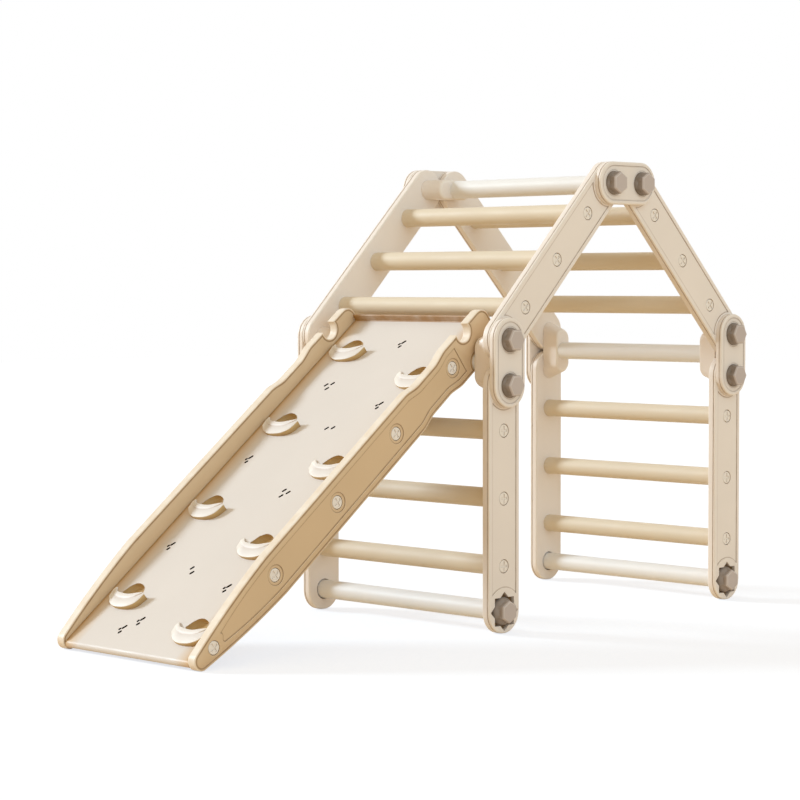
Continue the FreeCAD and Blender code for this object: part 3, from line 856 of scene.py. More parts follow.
def plate_moulding(joints, rails):
    """Cover plate with a rounded edge, a raised rim, a shallow dish round each bolt and two star bosses
    behind."""
    shape = Moulding()
    outline = obround(JOINT_HALF, RAIL_WIDTH / 2)
    line = parting(PLATE_FACE - joints.plate_edge - PARTING_WIDTH, rails.parting_depth)
    back_edge, front_edge = foot_round(RAIL_THICKNESS, BACK_EDGE), edge_round(PLATE_FACE, joints.plate_edge)
    back, front = shape.wall(outline, np.concatenate([back_edge, line, front_edge]))
    inside = obround(JOINT_HALF, RAIL_WIDTH / 2 - joints.plate_rim)
    step = recess(PLATE_FACE, joints.plate_step, *PLATE_ROUNDS, shade=PLATE_SHADE)
    rim, floor = shape.wall(inside, step)
    hollow = recess(PLATE_FACE - joints.plate_step, joints.halo_depth, *DISH_ROUNDS, shade=DISH_SHADE)
    dishes = []
    for along in (-JOINT_HALF, JOINT_HALF):
        dishes.append(shape.sink(circle(joints.halo_radius, (0.0, along)), hollow))
        tip, low = rails.star_outer - rails.lip, RAIL_THICKNESS - joints.boss_length
        shape.close(*star_wall(shape, ((tip, low, 0.0), (tip, RAIL_THICKNESS, 0.0)), along))
    shape.flat([front, rim])
    shape.flat([floor] + dishes)
    shape.flat([back], out=False)
    return shape


class MakePlates(bpy.types.Operator):
    """Make the six cover plates outside the joints"""
    bl_idname = "climbing.make_plates"
    bl_label = "Cover plates"

    def execute(self, context):
        shape = plate_moulding(context.scene.climbing_joints, context.scene.climbing_rails)
        plastic = finish_of("cream_plastic")
        for joint in JOINTS:
            node = joint + "_plates"
            shape.piece(node + "_moulding", joint_copies(joint), [plastic], "frame", [node], "frame_cream")
        return {"FINISHED"}


def hub_moulding(joints):
    """Tapered hub: round-ended outlines that get shorter towards its rounded end, where the rod comes out."""
    shape = Moulding()
    radius = joints.hub_width / 2
    base, end = joints.hub_base / 2 - radius, joints.hub_end / 2 - radius
    profile = np.concatenate([foot_round(0.0, BACK_EDGE), edge_round(joints.hub_depth, joints.hub_edge)])
    halves = base + (end - base) * profile[:, 1] / joints.hub_depth
    rings = [level(obround(half, radius - inset), height)
             for half, (inset, height, _) in zip(halves, profile)]
    shape.strips(np.stack(rings), profile[:, 2][:, None])
    shape.close(rings[0], rings[-1])
    return shape


class MakeHubs(bpy.types.Operator):
    """Make the six tapered hubs inside the joints"""
    bl_idname = "climbing.make_hubs"
    bl_label = "Hubs"

    def execute(self, context):
        shape = hub_moulding(context.scene.climbing_joints)
        plastic = finish_of("cream_plastic")
        for joint in JOINTS:
            node = joint + "_hubs"
            copies = joint_copies(joint, inward=True)
            shape.piece(node + "_moulding", copies, [plastic], "frame", [node], "frame_cream")
        return {"FINISHED"}


JOINT_FLARE, FOOT_FLARE = 0.32, 0.55    # share of a bolt's head below its flats, at a joint and at a foot
JOINT_SIDE_SHADE, FOOT_SIDE_SHADE = 1.0, 0.7      # how dark the painted shade on the sides of its head is there
# Rings of the flare: how round each is, at which share of the flare's height, and share of painted shade
FLARE_RINGS = ((1.0, 0.0, 1.0), (1.0, 0.25, 1.0), (0.6, 0.6, 0.9), (0.0, 1.0, 0.9))
FLAT_SHADE = 0.7                        # share of the painted shade at the top of the flats
BEVEL_SWELL = 0.3                       # share of the bevel's height that is left at its middle
BEVEL_SCUFFING_AND_LIGHT = (-0.1, 0.0, 0.8, 0.3, 0.0)  # from the foot of the bevel in to the face: a little painted shade, then a scuffed painted highlight
FACE_RIM = 0.0008                       # how much narrower each of the two last rings is, in metres
# Upper edge of a foot bolt's flange: insets from its tips, depths below its face, and painted shade
FLANGE_EDGE = ((0.0, 0.0008, -0.5), (0.001, 0.0, 0.0), (0.0016, 0.0, 0.0))
FLANGE_SHADE_FINISH = 1                       # number of the flange's painted-shade finish among a foot bolt's


def bolt_head(shape, joints, base, seat, face, along, turn, flare=JOINT_FLARE, shade=JOINT_SIDE_SHADE):
    """Bolt's head: a round base that flows into six flats, then a bevel and a flat face, closed below its
    seat. Flare is the share of its height where the flats begin, and shade is how dark the painted shade
    on its sides is."""
    tall = flare * (face - seat)
    wide, bevel = joints.head_across, joints.head_bevel
    inner = wide - 2 * bevel
    rows = [(1.0, wide, seat - SEAT_SINK, -shade)]
    rows += [(roundness, wide, seat + share * tall, -part * shade) for roundness, share, part in FLARE_RINGS]
    rows.append((0.0, wide, face - bevel - HAIR, -FLAT_SHADE * shade))
    bevelled = (
        (wide - HAIR, face - bevel), (wide - bevel, face - BEVEL_SWELL * bevel), (inner, face - HAIR),
        (inner - FACE_RIM, face), (inner - 2 * FACE_RIM, face),
    )
    rows += [(0.0, across, height, rub) for (across, height), rub in zip(bevelled, BEVEL_SCUFFING_AND_LIGHT)]
    rings = [level(bolt_ring(across, turn, roundness, base) + (0.0, along), height)
             for roundness, across, height, _ in rows]
    shape.strips(np.stack(rings), np.array([rub for *_, rub in rows])[:, None])
    shape.close(rings[0], rings[-1])


def joint_bolt_moulding(joints):
    """Two bolts of a joint, standing in the dishes of a cover plate, with a corner to each side."""
    shape = Moulding()
    seat = PLATE_FACE - joints.plate_step - joints.halo_depth
    for along in (-JOINT_HALF, JOINT_HALF):
        bolt_head(shape, joints, joints.base_radius, seat, BOLT_FACE, along=along, turn=np.pi / 2)
    return shape


def foot_bolt_moulding(joints, rails):
    """Foot bolt: a star flange that lies below the rail's face, under a wide base and a head with a corner
    up."""
    shape = Moulding()
    face = RAIL_THICKNESS - joints.flange_recess
    low = RAIL_THICKNESS - rails.star_step
    tip = rails.star_outer - rails.lip - FLANGE_GAP
    steps = [(tip, low, -1.0)] + [(tip - inset, face - depth, rub) for inset, depth, rub in FLANGE_EDGE]
    shape.close(*star_wall(shape, steps, finish=FLANGE_SHADE_FINISH), finish=FLANGE_SHADE_FINISH)
    bolt_head(shape, joints, joints.foot_base_radius, face, FOOT_BOLT_FACE,
              along=0.0, turn=0.0, flare=FOOT_FLARE, shade=FOOT_SIDE_SHADE)
    return shape


class MakeBolts(bpy.types.Operator):
    """Make the twelve joint bolts and the four foot bolts"""
    bl_idname = "climbing.make_bolts"
    bl_label = "Bolts"

    def execute(self, context):
        joints = context.scene.climbing_joints
        plastic = finish_of("bolt_plastic")
        shape = joint_bolt_moulding(joints)
        for joint in JOINTS:
            node = joint + "_bolts"
            shape.piece(node + "_moulding", joint_copies(joint), [plastic], "frame", [node], "bolt_taupe")
        feet = [middle_of(end + "_foot_rod") for end in ("front", "rear")]
        copies = [(on_side(foot, side, RAIL_INNER), axes_of(side, UP))
                  for foot in feet for side in SIDES.values()]
        foot_bolt = foot_bolt_moulding(joints, context.scene.climbing_rails)
        finishes = [plastic, finish_of("flange_plastic")]
        foot_bolt.piece("foot_bolts_moulding", copies, finishes, "frame", ["foot_bolts"], "bolt_taupe")
        return {"FINISHED"}


def cap_moulding(joints, seat):
    """Round screw cap with a rounded edge and a cross sunk into its face, with painted shade in the cross."""
    shape = Moulding()
    face = seat + joints.cap_height
    wall = np.concatenate([[[0.0, seat, 0.0]], edge_round(face, joints.cap_edge)])
    foot, top = shape.wall(circle(joints.cap_radius, steps=CAP_STEPS), wall)
    cut = recess(face, joints.cross_depth, *FINE_ROUNDS, painted_shade=CROSS_SHADE_RUN, shade=CROSS_SHADE)
    rim = shape.sink(cross(joints.cross_arm, joints.cross_half), cut)
    shape.flat([foot], out=False)
    shape.flat([top, rim])
    return shape


class MakeRungScrews(bpy.types.Operator):
    """Make the twenty-four screws that hold the rungs"""
    bl_idname = "climbing.make_rung_screws"
    bl_label = "Rung screws"

    def execute(self, context):
        rails = context.scene.climbing_rails
        seat = RAIL_THICKNESS - rails.panel_depth - rails.seat_depth
        shape = cap_moulding(context.scene.climbing_joints, seat)
        plastic = finish_of("screw_plastic")
        for panel in PANELS:
            _, along = panel_place(panel)
            places = [middle_of(f"{panel}_rung_{rung}") for rung in RUNGS]
            copies = [(on_side(place, side, RAIL_INNER), axes_of(side, along))
                      for place in places for side in SIDES.values()]
            shape.piece(panel + "_rung_screws", copies, [plastic], "frame")
        return {"FINISHED"}


def ramp_slope(ramp):
    """Angle of the ramp: the rise from tip to rod over their distance, plus what the notch's offset adds."""
    rise = PIVOT[2] - ramp.tip_radius
    distance = math.hypot(ramp.hook_reach, ramp.hook_offset)
    return math.asin(rise / distance) + math.atan(ramp.hook_offset / ramp.hook_reach)


def ramp_place(ramp):
    """Centre of the ramp's tip on the middle plane, and the directions up the slope and square to it."""
    slope = ramp_slope(ramp)
    along = np.array([math.cos(slope), 0.0, math.sin(slope)])
    square = np.array([-math.sin(slope), 0.0, math.cos(slope)])
    tip = np.array([PIVOT[0], 0.0, PIVOT[2]]) - along * ramp.hook_reach + square * ramp.hook_offset
    return tip, along, square


def taper_edge(ramp, start, inset):
    """Swelling edge from near the tip up to the straight middle of a side."""
    start = np.asarray(start)
    end = np.array([ramp.taper_length, ramp.side_half - inset])
    chord = end - start
    out = np.array([-chord[1], chord[0]]) / np.linalg.norm(chord)
    return bow(start, (start + end) / 2 + out * ramp.taper_bulge, end, TAPER_STEPS)


def necked_edge(ramp, end, inset):
    """Upper edge of a side from its taper past the neck: level, a flowing step down, level, and a step up
    again."""
    wide, narrow = ramp.side_half - inset, ramp.neck_half - inset
    first = ramp.hook_reach - ramp.neck_to_hook
    second = first + ramp.neck_ease
    third = second + ramp.neck_length
    fourth = third + ramp.neck_ease
    return chained(
        [(ramp.taper_length, wide), (first, wide)],
        flow((first, wide), (second, narrow), NECK_STEPS),
        [(second, narrow), (third, narrow)],
        flow((third, narrow), (fourth, wide), NECK_STEPS),
        [(fourth, wide), (end, wide)],
    )


TIP_TURN = 100    # degrees, where the round tip of a ramp side runs into its taper


def side_outline(ramp):
    """Closed outline of a ramp side: round tip, taper, neck, a round notch above and below, and a head with
    round corners."""
    radius = ROD_RADIUS + ramp.hook_gap
    throat = math.sqrt(radius ** 2 - (ramp.side_half - ramp.hook_offset) ** 2)
    opening = math.degrees(math.atan2(ramp.side_half - ramp.hook_offset, throat))
    head = ramp.hook_reach + ramp.head_reach
    corner = ramp.head_corner
    tip = arc((0.0, 0.0), ramp.tip_radius, 180, TIP_TURN, TIP_STEPS)
    upper = chained(
        tip,
        taper_edge(ramp, tip[-1], 0.0),
        necked_edge(ramp, ramp.hook_reach - throat, 0.0),
        arc((ramp.hook_reach, ramp.hook_offset), radius, 180 - opening, 360 + opening, NOTCH_STEPS),
        [(ramp.hook_reach + throat, ramp.side_half), (head - corner, ramp.side_half)],
        arc((head - corner, ramp.side_half - corner), corner, 90, 0, CORNER_STEPS),
        [(head, ramp.side_half - corner), (head, 0.0)],
    )
    return mirrored(upper)


def side_panel(ramp):
    """Closed outline of the shallow panel in a ramp side: swaying at its low end, cut straight across at its
    high end."""
    end = ramp.hook_reach - ramp.panel_end_gap
    start = (ramp.panel_start, ramp.panel_low_half)
    upper = chained(taper_edge(ramp, start, ramp.panel_rim), necked_edge(ramp, end, ramp.panel_rim))
    across = np.linspace(ramp.panel_low_half, -ramp.panel_low_half, CORNER_STEPS)[1:-1]
    sway = ramp.panel_start + ramp.panel_wave * np.sin(np.pi * across / ramp.panel_low_half)
    return np.concatenate([upper * (1, -1), upper[::-1], np.stack([sway, across], 1)])


RAMP_SCREWS = (0.228, 0.430, 0.630, 0.830)    # places of the ringed screws along a side, from the tip
TIP_SCREW = 0.035                             # place of the lowest screw, which has no ring


def side_moulding(ramp):
    """Ramp side with rounded edges, a fine groove beside them, a shallow panel, and screw seats, four of them
    in ring recesses. The top of its edges is painted pale, as a painted highlight."""
    shape = Moulding()
    edges = np.concatenate([foot_round(0.0, ramp.edge), edge_round(SIDE_THICKNESS, ramp.edge)])
    # Painted highlight along the lit top of the edges
    top = edges[EDGE_STEPS // 2:-EDGE_STEPS // 2, 2]
    np.maximum(top, ramp.top_highlight, out=top)
    start = ramp.edge + 2 * HAIR
    grooves = [groove(height, start, sunk) for height, sunk in (
        (0.0, ramp.groove_depth), (SIDE_THICKNESS, -ramp.groove_depth),
    )]
    inner, outer = shape.wall(side_outline(ramp), np.concatenate([grooves[0][::-1], edges, grooves[1]]))
    rim, floor = shape.wall(side_panel(ramp), recess(SIDE_THICKNESS, ramp.panel_depth, *PANEL_ROUNDS))
    panel_face = SIDE_THICKNESS - ramp.panel_depth
    ring = recess(panel_face, ramp.ring_depth, *RING_ROUNDS)
    seat = recess(panel_face - ramp.ring_depth, ramp.seat_depth, *SEAT_ROUNDS)
    rings = []
    for along in RAMP_SCREWS:
        ring_rim, ring_floor = shape.wall(circle(ramp.ring_radius, (along, 0.0), RING_STEPS), ring)
        shape.flat([ring_floor, shape.sink(circle(ramp.seat_radius, (along, 0.0)), seat)])
        rings.append(ring_rim)
    tip_seat = recess(SIDE_THICKNESS, ramp.seat_depth, *SEAT_ROUNDS)
    tip_rim = shape.sink(circle(ramp.seat_radius, (TIP_SCREW, 0.0)), tip_seat)
    shape.flat([outer, rim, tip_rim])
    shape.flat([floor] + rings)
    shape.flat([inner], out=False)
    return shape


def ramp_side_copy(ramp, side):
    """Place of a ramp side, with its own axes up the slope, square to it and out."""
    tip, along, square = ramp_place(ramp)
    origin = on_side(tip, side, SIDE_INNER)
    return origin, np.stack([along, -side * square, np.array([0.0, side, 0.0])])


class MakeRampSides(bpy.types.Operator):
    """Make the two sides of the ramp, with their notches, panels and screw seats"""
    bl_idname = "climbing.make_ramp_sides"
    bl_label = "Ramp sides"

    def execute(self, context):
        ramp = context.scene.climbing_ramp
        shape = side_moulding(ramp)
        plastic = finish_of("ramp_plastic")
        for name, side in SIDES.items():
            node = "ramp_side_" + name
            copies = [ramp_side_copy(ramp, side)]
            shape.piece(node + "_moulding", copies, [plastic], "ramp", [node], "ramp_tan")
        return {"FINISHED"}


class MakeRampScrews(bpy.types.Operator):
    """Make the ten screws of the ramp's sides"""
    bl_idname = "climbing.make_ramp_screws"
    bl_label = "Ramp screws"

    def execute(self, context):
        ramp, joints = context.scene.climbing_ramp, context.scene.climbing_joints
        plastic = finish_of("screw_plastic")
        ringed = SIDE_THICKNESS - ramp.panel_depth - ramp.ring_depth - ramp.seat_depth
        seats = {"ringed": (ringed, RAMP_SCREWS), "tip": (SIDE_THICKNESS - ramp.seat_depth, (TIP_SCREW,))}
        for name, (seat, places) in seats.items():
            copies = []
            for side in SIDES.values():
                origin, axes = ramp_side_copy(ramp, side)
                copies += [(origin + axes[0] * along, axes) for along in places]
            cap_moulding(joints, seat).piece(f"ramp_screws_{name}", copies, [plastic], "ramp")
        return {"FINISHED"}


# Centres of the climbing holds: distance up from the tip, and place across the board
HOLDS = (
    (0.119, 0.119), (0.374, 0.120), (0.626, 0.121), (0.862, 0.120),
    (0.055, -0.127), (0.284, -0.104), (0.512, -0.112), (0.784, -0.133),
)
# Slots in the board. A wave is a dot, a long slot and a short one: steps up and across, and share of the
# long slot's length
WAVE = ((-0.0006, 0.0008, 0.15), (0.0058, -0.0068, 1.0), (-0.0081, -0.0058, 0.5))
WAVES = (
    (0.891, -0.010), (0.701, -0.095), (0.521, 0.133), (0.263, 0.133), (0.174, -0.112), (0.039, 0.064),
    (0.065, 0.035),
)
DASHES = (
    (0.755, 0.096), (0.760, 0.081), (0.744, 0.085), (0.442, -0.046), (0.437, -0.061), (0.426, -0.050),
    (0.625, -0.013), (0.628, -0.029), (0.213, 0.017), (0.201, 0.007),
)
DASH_SHARE = 0.8                   # length of a lone dash, as a share of the long slot's
SLOT_TURN = math.radians(-34.0)    # of a slot from the line up the slope

# Plan of a hold about its centre: up the slope, and across the board to the left
LIP_FRONT = (
    (-0.008, 0.052), (-0.023, 0.032), (-0.0315, 0.010), (-0.033, -0.014), (-0.030, -0.034), (-0.020, -0.0495),
    (0.001, -0.057),
)
LIP_BACK = (
    (0.019, 0.0535), (0.0125, 0.044), (0.0065, 0.034), (0.0025, 0.020), (-0.0005, 0.004), (-0.0015, -0.0135),
    (0.002, -0.034), (0.004, -0.052),
)
POCKET_LOW = ((0.009, 0.0305), (0.0008, 0.0085), (-0.0007, -0.0135), (0.004, -0.027), (0.011, -0.032))
POCKET_HIGH = (
    (0.0185, -0.0315), (0.0275, -0.027), (0.0352, -0.0167), (0.0398, -0.0027), (0.0385, 0.0092),
    (0.0302, 0.0197), (0.0185, 0.0262),
)
SLOT_SHADE_FINISH, POCKET_SHADE_FINISH = 1, 2  # numbers of the board's painted-shade finishes in the slots and the pockets
FRONT_SHADE_FINISH = 1                   # number of the lips' painted-shade finish on their fronts and ends

# Bowl of a pocket: size of each smaller outline, and the share of the depth that it lies at
POCKET_SIZES = (1.0, 0.985, 0.95, 0.88, 0.72, 0.45)
POCKET_DEPTHS = (0.12, 0.45, 0.75, 0.90, 0.98, 1.0)

LIP_GROWTH = 1.15                  # power of the way along that a lip's height follows
LIP_SINK = 0.002                   # how far a lip goes into the board, in metres
EDGE_LIMITS = (0.35, 0.45)         # largest round of a lip's edges, as shares of its width and height
FOLD_LIMIT = 0.2                   # largest rise of a lip's back rim, as a share of its height
EDGE_MIDDLE = 0.29                 # how far in the middle of a rounded edge lies, as a share of its radius
FOLD_PLACES = (0.60, 0.62, 0.68)   # across a lip's top: two points before the back rim, and where it is up
LEFT_END = 0.3                     # share of a lip's length that is its left end
LEFT_ROUND = 0.005                 # how far the corners of the left end are rounded off, in metres
# Edge values along a lip's section, from the foot of its front over its top to the foot of its back:
# painted shade at the feet and in the fold, scuffing and a painted highlight on the rounded edges
LIP_SCUFFING_AND_LIGHT = (-1.0, -0.8, 0.0, 1.0, 0.3, -0.12, -0.5, 0.1, 0.4, 1.0, 0.2, -0.8, -1.0)
LIP_FOOT = -0.6                    # values below this are the painted shade at a lip's foot
FRONT_POINTS = 3                   # points of the section that make a lip's front

# Painted shade along the board's sides: distances in from a side, and how deep the painted shade is there
SEAM_BANDS = (0.0, 0.0020, 0.0042, 0.0085, 0.0130)
SEAM_SHADE = (-1.0, -0.95, -0.40, -0.15, 0.0)


def through(points, steps):
    """Smooth curve through points: between two of them a cubic, which at each heads along the line that joins
    its neighbours."""
    points = np.asarray(points)
    points = np.vstack([2 * points[0] - points[1], points, 2 * points[-1] - points[-2]])
    place = np.linspace(0.0, len(points) - 3.0, steps)
    number = np.minimum(place.astype(int), len(points) - 4)
    t = (place - number)[:, None]
    before, start, end, after = (points[number + step] for step in range(4))
    return 0.5 * (2 * start + (end - before) * t + (2 * before - 5 * start + 4 * end - after) * t ** 2
                  + (3 * start - before - 3 * end + after) * t ** 3)


def pocket_outline(at):
    """Closed almond outline of a finger pocket: a low edge behind the lip, and a bow above it."""
    edges = zip((POCKET_LOW, POCKET_HIGH), POCKET_STEPS)
    outline = np.concatenate([through(points, steps) for points, steps in edges])
    return outline[::-1] + np.asarray(at)


def sink_pocket(shape, holds, at, face):
    """Pocket of a hold: its outline with a rounded rim, then smaller copies of it further down, closed in the
    middle. Gives back its ring on the board's face."""
    outline = pocket_outline(at)
    profile = recess(face, holds.pocket_depth, holds.pocket_edge, 0.0)[:EDGE_STEPS // 2 + 2]
    rim = carried(outline, profile)
    shape.strips(rim, profile[:, 2][:, None])
    middle = outline.mean(0)
    depths = np.array(POCKET_DEPTHS) * holds.pocket_depth
    plan = middle + (outline - middle) * np.array(POCKET_SIZES)[:, None, None]
    height = np.broadcast_to((face - depths)[:, None, None], plan.shape[:2] + (1,))
    bowl = np.concatenate([rim[-1:], np.concatenate([plan, height], 2)])
    # The bowl takes the deep tan painted shade
    shape.strips(bowl, finish=POCKET_SHADE_FINISH)
    shape.fan(bowl[-1], finish=POCKET_SHADE_FINISH)
    return rim[0]


def slot_outlines(holds):
    """Closed outlines of all the slots in the board: short round-ended strips, turned and set in groups."""
    sine, cosine = math.sin(SLOT_TURN), math.cos(SLOT_TURN)
    turned = np.array([[sine, -cosine], [cosine, sine]])
    slots = [(up, across, DASH_SHARE) for up, across in DASHES]
    slots += [(up + step_up, across + step_across, share)
              for up, across in WAVES for step_up, step_across, share in WAVE]
    strips = [obround(holds.slot_half * share, holds.slot_radius)[::SLOT_THINNING] for _, _, share in slots]
    return [strip @ turned + place[:2] for strip, place in zip(strips, slots)]


def board_moulding(ramp, holds):
    """Board with a round nose, an upturned upper end, painted shade along its sides, and finger pockets
    and slots sunk into its upper face. Its section runs from the foot of the upturned end over that end,
    back below the board and round the nose, and is carried straight across."""
    shape = Moulding()
    half = ramp.board_thickness / 2
    wide = SIDE_INNER - ramp.board_seam
    high = ramp.hook_reach + ramp.head_reach - ramp.board_setback
    nose = half - ramp.board_low_end
    edge = ramp.board_edge
    inside, crest = high - ramp.end_thickness, half + ramp.end_rise
    fillet = ramp.end_fillet
    section = chained(
        [(inside - fillet - PAINTED_SHADE_RUN, half), (inside - fillet, half)],
        arc((inside - fillet, half + fillet), fillet, -90, 0, EDGE_STEPS),
        [(inside, half + fillet), (inside, crest - edge)],
        arc((inside + edge, crest - edge), edge, 180, 90, EDGE_STEPS),
        [(inside + edge, crest), (high - edge, crest)],
        arc((high - edge, crest - edge), edge, 90, 0, EDGE_STEPS),
        [(high, crest - edge), (high, edge - half)],
        arc((high - edge, edge - half), edge, 0, -90, EDGE_STEPS),
        [(high - edge, -half), (nose, -half)],
        arc((nose, 0.0), half, 270, 90, 3 * EDGE_STEPS),
        [(nose, half), (nose + HAIR, half)],
    )
    low, upper = section[-1, 0], section[0, 0]
    bands = wide - np.array(SEAM_BANDS)
    shade = np.array(SEAM_SHADE)[:, None]
    for side in SIDES.values():
        strip = np.array([[(low, side * across, half), (upper, side * across, half)] for across in bands])
        turned = slice(None, None, -int(side))
        shape.strips(strip[turned], shade[turned], closed=False)
    stations = np.concatenate([bands, -bands[::-1]])
    rub = np.zeros(len(section))
    rub[0] = 1.0                      # painted highlight: a pale line at the foot of the upturned end
    rub[1:4 * EDGE_STEPS] = -1.0      # painted shade on the upturned end
    shape.strips(np.stack([np.insert(section, 1, across, axis=1) for across in stations]), rub, closed=False)
    for across, facing in ((-wide, 1), (wide, -1)):
        ring = np.insert(section, 1, across, axis=1)[::facing]
        shape.flat_end(ring)
    open_half = bands[-1]
    corners = np.array([(x, y, half) for x, y in (
        (low, -open_half), (upper, -open_half), (upper, open_half), (low, open_half),
    )])
    rims = [sink_pocket(shape, holds, at, half) for at in HOLDS]
    cut = recess(half, holds.slot_depth, *FINE_ROUNDS, painted_shade=SLOT_SHADE_RUN)
    # Slots get the near-black painted shade
    rims += [shape.sink(outline, cut, SLOT_SHADE_FINISH) for outline in slot_outlines(holds)]
    shape.flat([corners] + rims)
    return shape


def lip_moulding(ramp, holds):
    """Crescent lips of the holds. Each is a section carried from the lip's left end to its right: up an
    upright front, over a top with a raised back rim, and down the gripping edge. Its height grows along the
    way, its top narrows to a point, and its left end is rounded and painted paler as a highlight."""
    shape = Moulding()
    along = np.linspace(0.0, 1.0, LIP_STEPS)[:, None]
    front, back = through(LIP_FRONT, LIP_STEPS), through(LIP_BACK, LIP_STEPS)
    width = np.linalg.norm(back - front, axis=1, keepdims=True)
    height = holds.lip_low + (holds.lip_high - holds.lip_low) * along ** LIP_GROWTH
    edge = np.minimum(holds.lip_edge, np.minimum(EDGE_LIMITS[0] * width, EDGE_LIMITS[1] * height))
    crown = height + np.minimum(holds.lip_fold, FOLD_LIMIT * height)
    part = edge / width
    none, whole = np.zeros_like(along), np.ones_like(along)
    across = np.hstack([none, none, none, EDGE_MIDDLE * part, part, *(place * whole for place in FOLD_PLACES),
                        1 - part, 1 - EDGE_MIDDLE * part, whole, whole, whole])
    lift = np.hstack([none - LIP_SINK, none, height - edge, height - EDGE_MIDDLE * edge, height, height,
                      height, crown, crown, crown - EDGE_MIDDLE * edge, crown - edge, none, none - LIP_SINK])
    rub = np.array(LIP_SCUFFING_AND_LIGHT)
    # Painted highlight: the left end is painted paler, most at its tip, all but the shade at its feet
    left_end = np.clip(1 - along / LEFT_END, 0.0, 1.0)
    rub = np.where(rub > LIP_FOOT, rub + (1 - rub) * left_end, rub)
    plan = front[:, None] + (back - front)[:, None] * across[..., None]
    round_end = 1 - np.sqrt(np.clip(1 - (2 * across - 1) ** 2, 0.0, 1.0))
    plan[..., 1] -= LEFT_ROUND * round_end * left_end ** 2
    wide = SIDE_INNER - ramp.board_seam
    half = ramp.board_thickness / 2
    front_rows, top_rows = slice(FRONT_POINTS - 1, None, -1), slice(None, FRONT_POINTS - 2, -1)
    for at in HOLDS:
        place = plan + np.asarray(at)
        place[..., 1] = np.clip(place[..., 1], -wide, wide)
        rings = np.concatenate([place, (half + lift)[..., None]], 2)
        # Fronts and ends of the lips take the deep tan painted shade
        shape.strips(rings[:, front_rows], rub[:, front_rows], FRONT_SHADE_FINISH, closed=False)
        shape.strips(rings[:, top_rows], rub[:, top_rows], closed=False)
        shape.fan(rings[0], FRONT_SHADE_FINISH)
        shape.fan(rings[-1][::-1], FRONT_SHADE_FINISH)
    return shape


class MakeBoard(bpy.types.Operator):
    """Make the climbing board with its eight holds"""
    bl_idname = "climbing.make_board"
    bl_label = "Climbing board"

    def execute(self, context):
        ramp, holds = context.scene.climbing_ramp, context.scene.climbing_holds
        tip, along, square = ramp_place(ramp)
        copy = (tip, np.stack([along, TO_LEFT, square]))
        board = board_moulding(ramp, holds)
        finishes = [finish_of(name) for name in ("board_plastic", "slot_plastic", "pocket_plastic")]
        board.piece("ramp_board_moulding", [copy], finishes, "ramp", ["ramp_board"], "board_ivory")
        lips = lip_moulding(ramp, holds)
        lip_finishes = [finish_of("lip_plastic"), finishes[-1]]
        lips.piece("climbing_holds", [copy], lip_finishes, "ramp", slot="board_ivory")
        return {"FINISHED"}


# Camera of the photograph
CAMERA_PLACE = (-3.56902, -3.50615, 0.69646)
CAMERA_TURN = (-45.243, 2.759, -0.085)       # round the object, above the horizon, and roll, in degrees
CAMERA_LENS = 2430.0 / 800.0                 # focal length over the width of the picture
SENSOR = 36.0                                # millimetres
KEY_FROM = (-0.47, 1.0, 0.47)                # direction towards the key light, behind and to the left
FILL_FROM = (-0.20, -1.0, 0.28)              # direction towards the soft fill light on the near side
# Energy, softness in degrees and colour of the two lights
KEY_LIGHT = (3.14, 15.0, (0.74, 0.88, 1.0))
FILL_LIGHT = (1.46, 70.0, (0.48, 0.77, 1.0))
DAYLIGHT = (1.0, 0.77, 0.47)                 # colour of the light from all round
DAYLIGHT_STRENGTH = 0.66
FLOOR_GLOW = (0.66, 0.69, 0.74)              # light that makes the floor white, as the camera sees it
FLOOR_CLOUDS = (3.0, 3.0)                    # lumps to the metre, and detail
FLOOR_TINT = 0.98                            # darkest of the floor's clouds, as a share of its colour
FLOOR_ROUGHNESS = 0.9
FLOOR_REACH = 14.0                           # from the middle to each edge, in metres
FLOOR_HEIGHT = -0.0004                       # just below the feet


def make_camera():
    """Camera at the photograph's place, with its axes worked out from its turn, height and roll."""
    turn, height, roll = (math.radians(angle) for angle in CAMERA_TURN)
    back = Vector((math.sin(turn) * math.cos(height), -math.cos(turn) * math.cos(height), math.sin(height)))
    right = Vector((0, 0, 1)).cross(back).normalized()
    up = back.cross(right)
    tilted = right * math.cos(roll) + up * math.sin(roll)
    upright = back.cross(tilted)
    data = bpy.data.cameras.new("photo_camera")
    data.sensor_width = SENSOR
    data.lens = SENSOR * CAMERA_LENS
    camera = bpy.data.objects.new("photo_camera", data)
    facing = Matrix((tilted, upright, back)).transposed().to_4x4()
    camera.matrix_world = Matrix.Translation(CAMERA_PLACE) @ facing
    bpy.context.scene.collection.objects.link(camera)
    bpy.context.scene.camera = camera


def seen_rays(tree):
    """Value that is 1 for what the camera sees, straight or in a reflection or a clear piece, and 0 for plain
    light."""
    path = tree.nodes.new("ShaderNodeLightPath")
    seen = path.outputs["Is Camera Ray"]
    for ray in ("Is Glossy Ray", "Is Transmission Ray"):
        either = tree.nodes.new("ShaderNodeMath")
        either.operation = "MAXIMUM"
        tree.links.new(seen, either.inputs[0])
        tree.links.new(path.outputs[ray], either.inputs[1])
        seen = either.outputs["Value"]
    return seen


